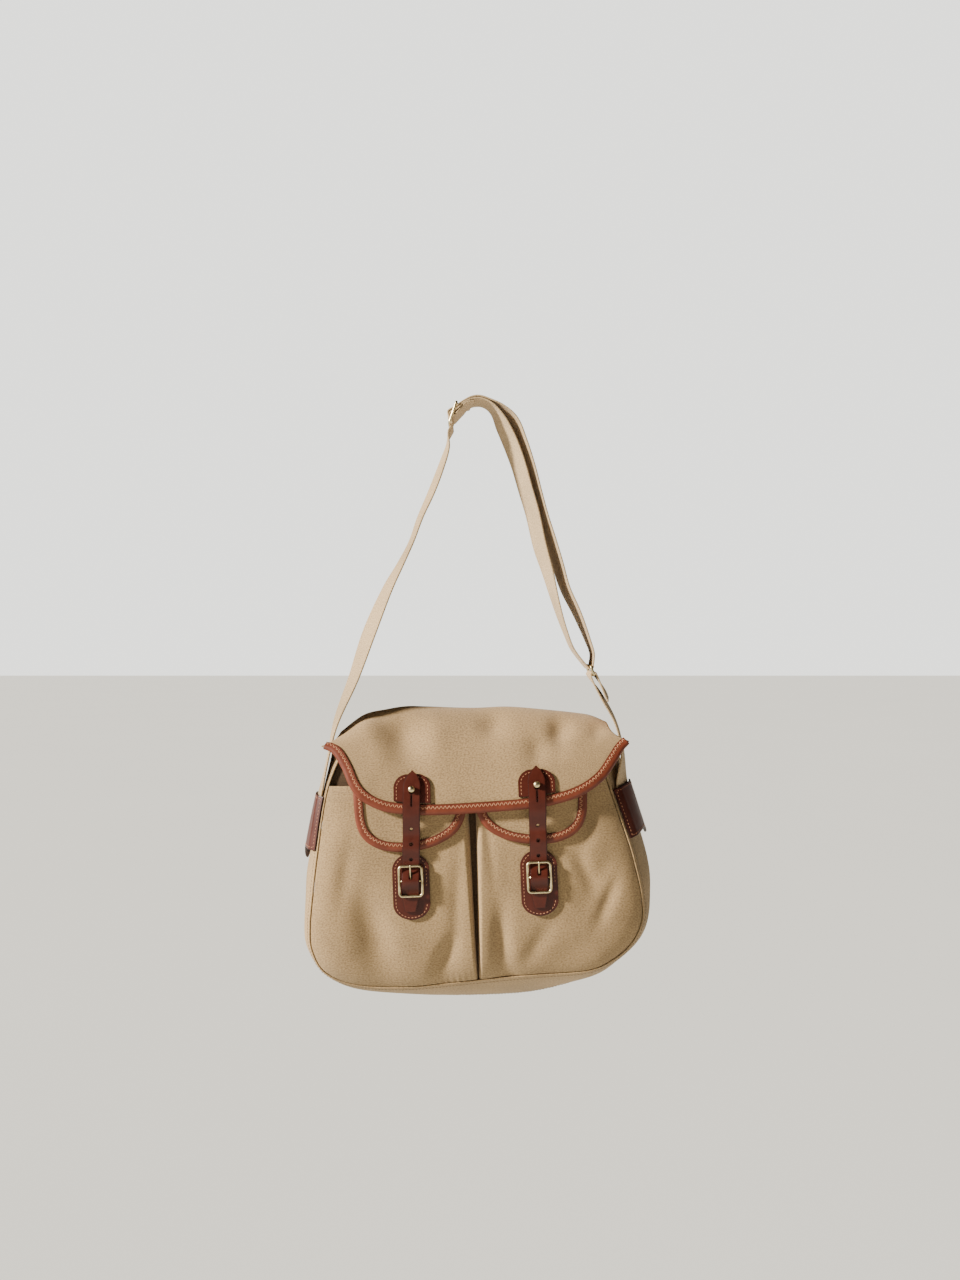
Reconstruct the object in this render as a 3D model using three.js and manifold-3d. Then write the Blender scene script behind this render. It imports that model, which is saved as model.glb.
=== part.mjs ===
// Canvas fishing creel bag with leather trim, hanging by its webbing strap.
// Millimetres, +Z up, front of the bag towards -Y. The origin is the hang point,
// on the underside of the strap where it passes over its support.

import * as THREE from 'three';
import { mergeVertices } from 'three/addons/utils/BufferGeometryUtils.js';
import Module from 'manifold-3d';

const wasm = await Module();
wasm.setup();

// Clearances and sheet thicknesses
const GAP = 0.3;
const CANVAS = 1.6;
const FLAP_CANVAS = 1.4;
const BINDING_LEATHER = 0.9;
const PATCH_LEATHER = 2.0;
const STRAP_LEATHER = 2.2;
const TAB_LEATHER = 1.6;
const WEBBING = 1.8;
const WEBBING_WIDTH = 38;

// Bag body: half width, half height, and how the front leans back above and below its belly
const BAG_HALF_WIDTH = 190;
const BAG_HALF_HEIGHT = 165;
const BELLY_DEPTH = 52;
const BELLY_HEIGHT = -66;
const MOUTH_LEAN = 21;
const FOOT_LEAN = 6;
const BACK_DEPTH = 15;
const GUSSET_BULGE = 8;
const SEAM_RIM = 1.5;
const SEAM_EASE = 0.2;
const BAG_ROLL = THREE.MathUtils.degToRad(2.2);
const BAG_PLACE = new THREE.Vector3(-1.6, 0, -491.5);

// Pockets
const POCKET_TOP = 79.5;
const POCKET_FULLNESS = 11;
const POCKET_SHOULDER = 18;
const POCKET_MOUTH_FLARE = 2.5;
const CREASE_X = -5;
const CREASE_HALF_TOP = 4.9;
const CREASE_HALF_FOOT = 1.6;
const CREASE_ROLL_TOP = 7;
const CREASE_ROLL_FOOT = 2.5;

// Main flap
const FLAP_HALF_WIDTH = 165;
const FLAP_HEIGHT = 158;
const FLAP_REACH = 66;
const FLAP_HINGE_HALF = 146;
const FLAP_CREST_DEPTH = 2;
const FLAP_BACK_DROP = 9;
const BINDING_WIDTH = 9;

// Pocket flaps
const POCKET_FLAP_HALF = 57.5;
const POCKET_FLAP_TOP = 97;
const POCKET_FLAP_FOLD = 80;
const POCKET_FLAP_DROP = 66;
const POCKET_FLAP_LIFT = 3.5;
const POCKET_BINDING_WIDTH = 8;

// Closing straps, studs and buckles
const CLOSING_STRAP_WIDTH = 18;
const CLOSING_POINT = 12;
const STUD_HEIGHT = 74.5;
const STRAP_TIP_HEIGHT = 93;
const STRAP_TAIL = 32;
const HOLE_DIAMETER = 3.4;
const HOLE_PITCH = 16;
const STUD_NECK = 3.6;
const STUD_HEAD = 7;
const BUCKLE_WIDTH = 26.5;
const BUCKLE_HEIGHT = 33.5;
const BUCKLE_WIRE = 2.8;
const BUCKLE_BAR = 2.2;
const BUCKLE_PATCH_WIDTH = 38.5;
const BUCKLE_PATCH_HEIGHT = 68;
const STUD_PATCH_WIDTH = 38.5;
const STUD_PATCH_TOP = 90;
const STUD_PATCH_CORNER = 14;
const STUD_PATCH_CLEARANCE = 1;
const TONGUE_WIRE = 1.6;

// Strap hardware
const SLIDER_LENGTH = 24;
const SLIDER_WIRE = 2.8;
const RING_LENGTH = 10;
const RING_WIRE = 3.0;
const HARDWARE_CLEARANCE = 1.5;

const COLOURS = {
  canvas: { color: 0xa08560, roughness: 0.95, metalness: 0 },
  inner: { color: 0x5a3e26, roughness: 0.95, metalness: 0 },
  webbing: { color: 0xb79b72, roughness: 0.95, metalness: 0 },
  strapLeather: { color: 0x6e2d1a, roughness: 0.45, metalness: 0 },
  bindingLeather: { color: 0x9a5230, roughness: 0.5, metalness: 0 },
  brass: { color: 0xc9b27a, roughness: 0.3, metalness: 1 },
};

// Seam rows from the left mouth corner round the foot to the right one.
// frontX, backX are shares of BAG_HALF_WIDTH, frontZ, backZ of BAG_HALF_HEIGHT, bulge of GUSSET_BULGE.
const SEAM_COLUMNS = ['frontX', 'frontZ', 'backX', 'backZ', 'bulge'];
const SEAM_ROWS = [
  [-0.732, 0.721, -0.842, 0.697, 0.25],
  [-0.832, 0.452, -0.874, 0.436, 0.6],
  [-0.893, 0.061, -0.953, 0.03, 0.9],
  [-0.926, -0.2, -0.984, -0.218, 1],
  [-0.947, -0.4, -0.995, -0.448, 1],
  [-0.942, -0.558, -0.968, -0.642, 0.9],
  [-0.874, -0.709, -0.868, -0.818, 0.7],
  [-0.708, -0.799, -0.695, -0.933, 0.6],
  [-0.424, -0.827, -0.368, -1.006, 0.6],
  [-0.018, -0.796, 0.026, -1.03, 0.6],
  [0.289, -0.775, 0.337, -1.012, 0.6],
  [0.577, -0.763, 0.621, -0.921, 0.6],
  [0.721, -0.697, 0.8, -0.782, 0.7],
  [0.833, -0.586, 0.911, -0.6, 0.9],
  [0.893, -0.441, 0.958, -0.424, 1],
  [0.895, -0.279, 0.974, -0.255, 1],
  [0.866, -0.085, 0.963, -0.061, 1],
  [0.836, 0.061, 0.937, 0.097, 0.9],
  [0.742, 0.424, 0.874, 0.436, 0.6],
  [0.689, 0.691, 0.832, 0.673, 0.25],
];
const LAST_ROW = SEAM_ROWS.length - 1;

// Flap edge from corner to corner: x share of FLAP_HALF_WIDTH, reach of FLAP_REACH, height of FLAP_HEIGHT
const FLAP_EDGE_COLUMNS = ['x', 'reach', 'height'];
const FLAP_EDGE_ROWS = [
  [-0.988, 0.62, 0.769],
  [-0.906, 0.69, 0.731],
  [-0.842, 0.79, 0.633],
  [-0.782, 0.9, 0.5],
  [-0.709, 0.94, 0.418],
  [-0.597, 0.97, 0.358],
  [-0.467, 0.99, 0.331],
  [-0.273, 1, 0.318],
  [-0.018, 1, 0.321],
  [0.291, 1, 0.333],
  [0.497, 0.99, 0.358],
  [0.667, 0.96, 0.408],
  [0.803, 0.9, 0.495],
  [0.897, 0.78, 0.609],
  [0.945, 0.7, 0.674],
  [1, 0.635, 0.725],
];

// Crest of the flap across the bag: x share of FLAP_HINGE_HALF, height share of FLAP_HEIGHT
const FLAP_CREST_COLUMNS = ['x', 'height'];
const FLAP_CREST_ROWS = [
  [-1, 0.842],
  [-0.83, 0.949],
  [-0.66, 0.981],
  [-0.51, 0.997],
  [-0.36, 0.99],
  [-0.01, 0.968],
  [0.26, 0.967],
  [0.54, 0.937],
  [0.78, 0.905],
  [0.89, 0.883],
  [1, 0.835],
];

// Pocket flap edge below its fold, from its outer side: shares of POCKET_FLAP_HALF and POCKET_FLAP_DROP
const POCKET_FLAP_COLUMNS = ['x', 'drop'];
const POCKET_FLAP_ROWS = [
  [1, 0.04],
  [1, 0.14],
  [0.965, 0.56],
  [0.835, 0.8],
  [0.574, 0.947],
  [0.226, 1],
  [-0.157, 0.98],
  [-0.504, 0.9],
  [-0.8, 0.742],
  [-0.965, 0.497],
  [-1, 0.14],
  [-1, 0.04],
];

// Left and right: flap centre, stud and buckle across the bag, buckle height, flap edge drop
const SIDES = [
  {
    name: 'left', out: -1, flapX: -69.5, flapDrop: 1.02,
    studX: -66.5, buckleX: -71, buckleZ: -18.6, corner: 6.2,
  },
  {
    name: 'right', out: 1, flapX: 57.5, flapDrop: 0.98,
    studX: 63.5, buckleX: 62.3, buckleZ: -19.6, corner: 12.4,
  },
];

// Main dents of the pocket fronts, in shares of BAG_HALF_WIDTH and BAG_HALF_HEIGHT, depth in mm
const DENT_COLUMNS = ['x', 'z', 'radiusX', 'radiusZ', 'turn', 'depth'];
const DENT_ROWS = [
  [-0.6, -0.42, 0.1, 0.3, 0.1, 3.2],
  [-0.2, -0.66, 0.07, 0.16, -0.3, 2.6],
  [0.12, -0.6, 0.05, 0.3, 0.15, 2.4],
  [0.66, -0.16, 0.07, 0.2, -0.5, 2.6],
  [0.5, -0.62, 0.16, 0.1, 0.3, 2],
];

const namedRows = (columns, rows) => rows.map(
  (row) => Object.fromEntries(columns.map((column, index) => [column, row[index]])));
const SEAM = namedRows(SEAM_COLUMNS, SEAM_ROWS);
const FLAP_EDGE = namedRows(FLAP_EDGE_COLUMNS, FLAP_EDGE_ROWS);
const FLAP_CREST = namedRows(FLAP_CREST_COLUMNS, FLAP_CREST_ROWS);
const POCKET_FLAP_EDGE = namedRows(POCKET_FLAP_COLUMNS, POCKET_FLAP_ROWS);
const DENTS = namedRows(DENT_COLUMNS, DENT_ROWS);

const { lerp, smoothstep } = THREE.MathUtils;
const v = (x, y, z) => new THREE.Vector3(x, y, z);
const steps = (count, from = 0, to = 1) => Array.from(
  { length: count + 1 }, (_, index) => lerp(from, to, index / count));

// Smooth curve through table values, at a row position that need not be whole
function rowValue(table, key, position) {
  const last = table.length - 1;
  const index = Math.min(Math.max(Math.floor(position), 0), last - 1);
  const t = position - index;
  const at = (row) => table[Math.min(Math.max(row, 0), last)][key];
  const [a, b, c, d] = [at(index - 1), at(index), at(index + 1), at(index + 2)];
  const bend = (2 * a - 5 * b + 4 * c - d) * t * t + (3 * b - a - 3 * c + d) * t * t * t;
  return b + 0.5 * ((c - a) * t + bend);
}

// Smooth value of a table at a given x, by finding the row position where the x column reaches it
function valueAtX(table, key, x) {
  let low = 0;
  let high = table.length - 1;
  for (let turn = 0; turn < 30; turn += 1) {
    const middle = (low + high) / 2;
    if (rowValue(table, 'x', middle) < x) low = middle;
    else high = middle;
  }
  return rowValue(table, key, (low + high) / 2);
}

// Closed body of a sheet: a grid of points on its middle surface, thickened along its normals
function gridNormal(grid, i, j) {
  const row = (index) => grid[Math.min(Math.max(index, 0), grid.length - 1)];
  const cell = (line, index) => line[Math.min(Math.max(index, 0), line.length - 1)];
  const along = cell(row(i + 1), j).clone().sub(cell(row(i - 1), j));
  const across = cell(row(i), j + 1).clone().sub(cell(row(i), j - 1));
  return along.cross(across).normalize();
}

function sheetGeometry(grid, thickness) {
  const rows = grid.length;
  const columns = grid[0].length;
  const positions = [];
  for (const side of [0.5, -0.5]) {
    for (let i = 0; i < rows; i += 1) {
      for (let j = 0; j < columns; j += 1) {
        const normal = gridNormal(grid, i, j);
        positions.push(...grid[i][j].clone().addScaledVector(normal, side * thickness).toArray());
      }
    }
  }
  const front = (i, j) => i * columns + j;
  const back = (i, j) => rows * columns + i * columns + j;
  const faces = [];
  const quad = (a, b, c, d) => faces.push(a, b, c, a, c, d);
  for (let i = 0; i < rows - 1; i += 1) {
    for (let j = 0; j < columns - 1; j += 1) {
      quad(front(i, j), front(i + 1, j), front(i + 1, j + 1), front(i, j + 1));
      quad(back(i, j), back(i, j + 1), back(i + 1, j + 1), back(i + 1, j));
    }
  }
  for (let i = 0; i < rows - 1; i += 1) {
    quad(front(i, 0), back(i, 0), back(i + 1, 0), front(i + 1, 0));
    quad(front(i + 1, columns - 1), back(i + 1, columns - 1), back(i, columns - 1), front(i, columns - 1));
  }
  for (let j = 0; j < columns - 1; j += 1) {
    quad(front(0, j + 1), back(0, j + 1), back(0, j), front(0, j));
    quad(front(rows - 1, j), back(rows - 1, j), back(rows - 1, j + 1), front(rows - 1, j + 1));
  }
  const geometry = new THREE.BufferGeometry();
  geometry.setAttribute('position', new THREE.Float32BufferAttribute(positions, 3));
  geometry.setIndex(faces);
  return geometry;
}

// Solids for cutting and joining
function asManifold(geometry) {
  const bare = geometry.clone();
  bare.deleteAttribute('normal');
  bare.deleteAttribute('uv');
  const merged = mergeVertices(bare, 1e-4);
  return new wasm.Manifold(new wasm.Mesh({
    numProp: 3,
    vertProperties: new Float32Array(merged.attributes.position.array),
    triVerts: new Uint32Array(merged.index.array),
  }));
}

function asGeometry(solid) {
  const mesh = solid.getMesh();
  const geometry = new THREE.BufferGeometry();
  geometry.setAttribute('position', new THREE.BufferAttribute(mesh.vertProperties, 3));
  geometry.setIndex(new THREE.BufferAttribute(mesh.triVerts, 1));
  return geometry;
}

function cutAll(geometry, cutters) {
  const cut = cutters.reduce((solid, cutter) => solid.subtract(asManifold(cutter)), asManifold(geometry));
  return asGeometry(cut);
}

function joinAll(geometries) {
  return asGeometry(geometries.map(asManifold).reduce((solid, next) => solid.add(next)));
}

// Depth of the bag's front seam plane at a height
function frontDepth(z) {
  const above = (z - BELLY_HEIGHT) / (BAG_HALF_HEIGHT * 1.12);
  const below = z / BELLY_HEIGHT - 1;
  const lean = z > BELLY_HEIGHT ? MOUTH_LEAN * above * above : FOOT_LEAN * below * below;
  return lean - BELLY_DEPTH;
}

function frontSeam(row) {
  const z = rowValue(SEAM, 'frontZ', row) * BAG_HALF_HEIGHT;
  return v(rowValue(SEAM, 'frontX', row) * BAG_HALF_WIDTH, frontDepth(z), z);
}

function backSeam(row) {
  const z = rowValue(SEAM, 'backZ', row) * BAG_HALF_HEIGHT;
  return v(rowValue(SEAM, 'backX', row) * BAG_HALF_WIDTH, BACK_DEPTH, z);
}

// Seam point moved inwards in the plane of its panel
function insetSeam(seam, row, distance) {
  const along = seam(row + 0.05).sub(seam(row - 0.05));
  const inward = v(-along.z, 0, along.x).normalize();
  return seam(row).addScaledVector(inward, distance);
}

// Gusset between the two seams, bulging outwards
function gussetPoint(row, share) {
  const front = frontSeam(row);
  front.y -= SEAM_RIM;
  const back = backSeam(row);
  back.y += SEAM_RIM;
  const along = frontSeam(row + 0.05).sub(frontSeam(row - 0.05));
  const outward = v(along.z, 0, -along.x).normalize();
  const bulge = rowValue(SEAM, 'bulge', row) * GUSSET_BULGE * 4 * share * (1 - share);
  return front.lerp(back, share).addScaledVector(outward, bulge);
}

function gussetGrid() {
  const rows = steps(LAST_ROW * 1.5 - 0.5, 0, LAST_ROW);
  return rows.map((row) => steps(4).map((share) => gussetPoint(row, share)));
}

// Front and back panels: rows that join the left and the right of a seam
const FOOT_ROW = 9.3;
const FRONT_INSET = CANVAS / 2 + 2 * GAP;
const BACK_INSET = CANVAS / 2 + GAP + 1.4;
const INNER_PANEL_SET_BACK = CANVAS * 1.5;
const HINGE_GAP = 0.8;

function panelRows(seam, count, inset) {
  return steps(count, 0, 0.93).map((share) => [
    insetSeam(seam, share * FOOT_ROW, inset),
    insetSeam(seam, LAST_ROW - share * (LAST_ROW - FOOT_ROW), inset),
  ]);
}

function frontPanelGrid() {
  return panelRows(frontSeam, 12, FRONT_INSET).map(([left, right]) => steps(4).map((share) => {
    const point = left.clone().lerp(right, share);
    point.y = frontDepth(point.z) + INNER_PANEL_SET_BACK;
    return point;
  }));
}

function flapBackHeight(x) {
  const share = Math.abs(x) / FLAP_HINGE_HALF;
  const crest = valueAtX(FLAP_CREST, 'height', x / FLAP_HINGE_HALF) * FLAP_HEIGHT;
  return crest - FLAP_BACK_DROP * (1 - share ** 6 * 0.3);
}

function backPanelGrid() {
  const body = panelRows(backSeam, 12, BACK_INSET).map(
    ([left, right]) => steps(8).map((share) => left.clone().lerp(right, share)));
  const top = steps(8, -FLAP_HINGE_HALF, FLAP_HINGE_HALF).map(
    (x) => v(x, BACK_DEPTH, flapBackHeight(x) - HINGE_GAP));
  const middle = top.map((point, index) => point.clone().lerp(body[0][index], 0.5));
  return [top, middle, ...body];
}

// Pocket front: full between its seams, with a few dents
const SEAM_TRACE = steps(160, 0, LAST_ROW).map(frontSeam);

function seamDistance(x, z) {
  return Math.min(...SEAM_TRACE.map((point) => Math.hypot(point.x - x, point.z - z)));
}

function pocketDepth(x, z) {
  const full = POCKET_FULLNESS * (1 - Math.exp(-seamDistance(x, z) / POCKET_SHOULDER));
  const flare = POCKET_MOUTH_FLARE * Math.exp(-(((z - POCKET_TOP) / 25) ** 2));
  return frontDepth(z) - full - flare;
}

function dentDepth(x, z) {
  return DENTS.reduce((sum, dent) => {
    const dx = x - dent.x * BAG_HALF_WIDTH;
    const dz = z - dent.z * BAG_HALF_HEIGHT;
    const across = (dx * Math.cos(dent.turn) + dz * Math.sin(dent.turn)) / (dent.radiusX * BAG_HALF_WIDTH);
    const along = (dz * Math.cos(dent.turn) - dx * Math.sin(dent.turn)) / (dent.radiusZ * BAG_HALF_HEIGHT);
    return sum + dent.depth * Math.exp(-across * across - along * along);
  }, 0);
}

const creaseShare = (z) => (POCKET_TOP - z) / (POCKET_TOP + BAG_HALF_HEIGHT * 0.8);
const creaseHalf = (z) => lerp(CREASE_HALF_TOP, CREASE_HALF_FOOT, creaseShare(z));
const creaseRoll = (z) => lerp(CREASE_ROLL_TOP, CREASE_ROLL_FOOT, creaseShare(z));

function rowWhere(reached, from, to) {
  let low = from;
  let high = to;
  for (let turn = 0; turn < 30; turn += 1) {
    const middle = (low + high) / 2;
    if (reached(frontSeam(middle))) high = middle;
    else low = middle;
  }
  return low;
}

// Flat outline of one pocket front as a patch between its four edges
function pocketFace(side) {
  const inset = CANVAS + GAP + SEAM_EASE;
  const footX = CREASE_X + side.out * (CREASE_HALF_FOOT + CREASE_ROLL_FOOT);
  const topRow = side.out < 0
    ? rowWhere((point) => point.z < POCKET_TOP, 0, 3)
    : rowWhere((point) => point.z < POCKET_TOP, LAST_ROW, LAST_ROW - 3);
  const footRow = side.out < 0
    ? rowWhere((point) => point.x > footX, 7, 10)
    : rowWhere((point) => point.x < footX, 11, 8);
  const outer = (share) => insetSeam(frontSeam, lerp(topRow, side.corner, share), inset);
  const foot = (share) => insetSeam(frontSeam, lerp(side.corner, footRow, share), inset);
  const innerTop = CREASE_X + side.out * (CREASE_HALF_TOP + CREASE_ROLL_TOP);
  const top = (share) => v(lerp(outer(0).x, innerTop, share), 0, POCKET_TOP);
  const inner = (share) => {
    const z = lerp(POCKET_TOP, foot(1).z, share);
    return v(CREASE_X + side.out * (creaseHalf(z) + creaseRoll(z)), 0, z);
  };
  return (a, b) => {
    const ends = top(a).multiplyScalar(1 - b).addScaledVector(foot(a), b);
    ends.addScaledVector(outer(b), 1 - a).addScaledVector(inner(b), a);
    ends.addScaledVector(top(0), -(1 - a) * (1 - b)).addScaledVector(top(1), -a * (1 - b));
    ends.addScaledVector(foot(0), -(1 - a) * b).addScaledVector(foot(1), -a * b);
    return ends;
  };
}

function pocketGrid(side) {
  const face = pocketFace(side);
  return steps(12).map((b) => {
    const flat = steps(8).map((a) => face(1 - (1 - a) ** 1.25, b));
    const row = flat.map(({ x, z }) => v(x, pocketDepth(x, z) + dentDepth(x, z), z));
    const edge = row[row.length - 1];
    const wall = frontDepth(edge.z) + INNER_PANEL_SET_BACK - CANVAS / 2 - GAP - SEAM_EASE - edge.y;
    for (const angle of steps(4, 0, Math.PI / 2).slice(1)) {
      const x = edge.x - side.out * creaseRoll(edge.z) * Math.sin(angle);
      row.push(v(x, edge.y + wall * (1 - Math.cos(angle)), edge.z));
    }
    return row;
  });
}

// Main flap: hinge line on the back panel, crest, then down to the curved edge
function flapEdge(share) {
  const row = share * (FLAP_EDGE.length - 1);
  return v(
    rowValue(FLAP_EDGE, 'x', row) * FLAP_HALF_WIDTH,
    -rowValue(FLAP_EDGE, 'reach', row) * FLAP_REACH,
    rowValue(FLAP_EDGE, 'height', row) * FLAP_HEIGHT);
}

const CREST_SHARE = 0.2;

function flapPoint(share, down) {
  const hingeX = lerp(-FLAP_HINGE_HALF, FLAP_HINGE_HALF, share);
  const crest = valueAtX(FLAP_CREST, 'height', hingeX / FLAP_HINGE_HALF) * FLAP_HEIGHT;
  if (down < CREST_SHARE) {
    const angle = (down / CREST_SHARE) * Math.PI / 2;
    const back = flapBackHeight(hingeX);
    const y = lerp(-FLAP_CREST_DEPTH, BACK_DEPTH, Math.cos(angle));
    return v(hingeX, y, lerp(back, crest, Math.sin(angle)));
  }
  const edge = flapEdge(share);
  const angle = ((down - CREST_SHARE) / (1 - CREST_SHARE)) * Math.PI / 2;
  const fall = 1 - Math.cos(angle);
  const reach = 0.75 * Math.sin(angle) + 0.25 * fall;
  const spread = fall ** 2.6;
  return v(lerp(hingeX, edge.x, spread), lerp(-FLAP_CREST_DEPTH, edge.y, reach), lerp(crest, edge.z, fall));
}

// Outward normal of a surface given by two shares
function surfaceNormal(surface, share, down) {
  const along = surface(share + 0.004, down).sub(surface(share - 0.004, down));
  const across = surface(share, down + 0.004).sub(surface(share, down - 0.004));
  return across.cross(along).normalize();
}

// Place on a surface at a distance inwards from its lower edge, measured square to that edge,
// and lifted off it
function placeFromEdge(surface) {
  return (share, distance, lift) => {
    const small = 0.002;
    const along = surface(share + small, 1).sub(surface(share - small, 1)).divideScalar(2 * small);
    const down = surface(share, 1 + small).sub(surface(share, 1 - small)).divideScalar(2 * small);
    const tangent = along.clone().normalize();
    const slide = down.dot(tangent);
    const change = -distance / Math.sqrt(down.lengthSq() - slide * slide);
    const [nearShare, nearDown] = [share - (slide * change) / along.length(), 1 + change];
    return surface(nearShare, nearDown).addScaledVector(surfaceNormal(surface, nearShare, nearDown), lift);
  };
}

// Leather folded round the lower edge of a canvas sheet
const BINDING_EASE = 0.2;

function bindingGrid(place, width, shares) {
  const lift = FLAP_CANVAS / 2 + GAP + BINDING_LEATHER / 2 + BINDING_EASE;
  const legs = [width, lift];
  const turn = [45, 135].map(THREE.MathUtils.degToRad);
  const section = [
    ...legs.map((distance) => [distance, lift]),
    ...turn.map((angle) => [-GAP - lift * Math.sin(angle) * 0.8, lift * Math.cos(angle)]),
    ...legs.slice().reverse().map((distance) => [distance, -lift]),
  ];
  return shares.map((share) => section.map(([distance, offset]) => place(share, distance, offset)));
}

// Pocket flap: sewn to the inner front panel above the pocket, folded over to lie on the pocket front
function pocketFlapDepth(x, z) {
  const sewn = frontDepth(z) + INNER_PANEL_SET_BACK - CANVAS / 2 - GAP - FLAP_CANVAS / 2;
  const lying = pocketDepth(x, z) - POCKET_FLAP_LIFT;
  return lerp(sewn, lying, smoothstep(POCKET_FLAP_TOP - z, 0, POCKET_FLAP_TOP - POCKET_FLAP_FOLD));
}

function pocketFlapEdge(side, share) {
  const row = (side.out < 0 ? share : 1 - share) * (POCKET_FLAP_EDGE.length - 1);
  const x = side.flapX + side.out * rowValue(POCKET_FLAP_EDGE, 'x', row) * POCKET_FLAP_HALF;
  const drop = rowValue(POCKET_FLAP_EDGE, 'drop', row) * POCKET_FLAP_DROP * side.flapDrop;
  return v(x, 0, POCKET_FLAP_FOLD - drop);
}

const POCKET_FLAP_HANG = 0.36;

function pocketFlapPoint(side) {
  return (share, down) => {
    const baseX = side.flapX + lerp(-1, 1, share) * POCKET_FLAP_HALF;
    const fall = Math.max(0, (down - POCKET_FLAP_HANG) / (1 - POCKET_FLAP_HANG));
    const edge = pocketFlapEdge(side, share);
    const hung = lerp(POCKET_FLAP_TOP - GAP, POCKET_FLAP_FOLD, Math.min(1, down / POCKET_FLAP_HANG));
    const x = lerp(baseX, edge.x, fall);
    const z = fall > 0 ? lerp(POCKET_FLAP_FOLD, edge.z, fall) : hung;
    return v(x, pocketFlapDepth(x, z), z);
  };
}

function placeOnPocketFlap(side) {
  return (share, distance, lift) => {
    const along = pocketFlapEdge(side, share + 0.004).sub(pocketFlapEdge(side, share - 0.004));
    const point = pocketFlapEdge(side, share).addScaledVector(v(-along.z, 0, along.x).normalize(), distance);
    const slopeX = pocketFlapDepth(point.x + 0.5, point.z) - pocketFlapDepth(point.x - 0.5, point.z);
    const slopeZ = pocketFlapDepth(point.x, point.z + 0.5) - pocketFlapDepth(point.x, point.z - 0.5);
    point.y = pocketFlapDepth(point.x, point.z);
    return point.addScaledVector(v(slopeX, -1, slopeZ).normalize(), lift);
  };
}

// Rows of each flap grid. A binding has the rows of its flap, short of both corners.
const FLAP_SHARES = [0, 0.025, 0.05, 0.075, ...steps(20, 0.11, 0.96), 0.985, 1];
const FLAP_DOWNS = [0, 0.1, 0.2, 0.32, 0.46, 0.6, 0.74, 0.86, 0.94, 1];
const POCKET_FLAP_SHARES = [0, 0.02, ...steps(12, 0.06, 0.94), 0.98, 1];
const POCKET_FLAP_DOWNS = [0, 0.12, 0.24, 0.36, 0.6, 0.82, 1];
const boundRows = (shares) => shares.slice(1, -1);

function surfaceGrid(surface, shares, downs) {
  return shares.map((share) => downs.map((down) => surface(share, down)));
}

// Where a flap surface stands at a given x and height
function flapShareAt(x, z) {
  let share = 0.5 + x / (2 * FLAP_HALF_WIDTH);
  let down = 0.8;
  for (let turn = 0; turn < 12; turn += 1) {
    const here = flapPoint(share, down);
    const alongX = (flapPoint(share + 0.01, down).x - here.x) / 0.01;
    const downZ = (flapPoint(share, down + 0.01).z - here.z) / 0.01;
    share += (x - here.x) / alongX;
    down += (z - here.z) / downZ * 0.8;
  }
  return [share, down];
}

function onFlap(x, z, lift) {
  const [share, down] = flapShareAt(x, z);
  return flapPoint(share, down).addScaledVector(surfaceNormal(flapPoint, share, down), lift);
}

// Height on the flap just above the inner edge of its binding
function aboveBinding(x) {
  const inner = (share) => placeFromEdge(flapPoint)(share, BINDING_WIDTH + STUD_PATCH_CLEARANCE, 0);
  let share = 0.5 + x / (2 * FLAP_HALF_WIDTH);
  for (let turn = 0; turn < 8; turn += 1) {
    share += (x - inner(share).x) / (2 * FLAP_HALF_WIDTH);
  }
  return inner(share).z;
}

// Stud patch: rounded top, sewn on the flap down to its binding
function studPatchGrid(side) {
  const half = STUD_PATCH_WIDTH / 2;
  const lift = FLAP_CANVAS / 2 + GAP + PATCH_LEATHER / 2;
  const radius = STUD_PATCH_CORNER;
  return steps(8, -1, 1).map((share) => {
    const x = half * Math.sin(share * Math.PI / 2);
    const corner = Math.max(0, Math.abs(x) - (half - radius));
    const top = STUD_PATCH_TOP - radius + Math.sqrt(radius * radius - corner * corner * 0.98);
    const bottom = aboveBinding(side.studX + x);
    return steps(4).map((down) => onFlap(side.studX + x, lerp(top, bottom, down), lift));
  });
}

// Buckle patch: long rounded patch on the pocket front, square to its face
const PATCH_LIFT = CANVAS / 2 + GAP + PATCH_LEATHER / 2;
const PATCH_FRONT = PATCH_LIFT + PATCH_LEATHER / 2;
const PATCH_RISE = 7;

function buckleCentre(side) {
  return v(side.buckleX, pocketDepth(side.buckleX, side.buckleZ) - PATCH_FRONT, side.buckleZ);
}

function bucklePatchGrid(side) {
  const half = BUCKLE_PATCH_WIDTH / 2;
  const centre = side.buckleZ - PATCH_RISE;
  const straight = BUCKLE_PATCH_HEIGHT / 2 - half * 0.85;
  return steps(8, -1, 1).map((share) => {
    const x = half * Math.sin(share * Math.PI / 2) * 0.998;
    const reach = straight + 0.85 * Math.sqrt(half * half - x * x);
    return steps(6, reach, -reach).map((z) => v(
      side.buckleX + x, pocketDepth(side.buckleX, centre + z) - PATCH_LIFT, centre + z));
  });
}

// Closing strap: from its tip over stud, flap edge and pocket flap, then through the buckle
const STRAP_REST = PATCH_FRONT + GAP + STRAP_LEATHER / 2;
const BUCKLE_PLANE = GAP + STRAP_LEATHER + GAP + BUCKLE_WIRE / 2;
const STRAP_OVER_BAR = BUCKLE_PLANE + BUCKLE_BAR / 2 + GAP + STRAP_LEATHER / 2;
const STUD_STRAP_LIFT = FLAP_CANVAS / 2 + GAP + PATCH_LEATHER + GAP + STRAP_LEATHER / 2;
const BINDING_LIFT = FLAP_CANVAS / 2 + GAP + BINDING_LEATHER + BINDING_EASE;

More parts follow.
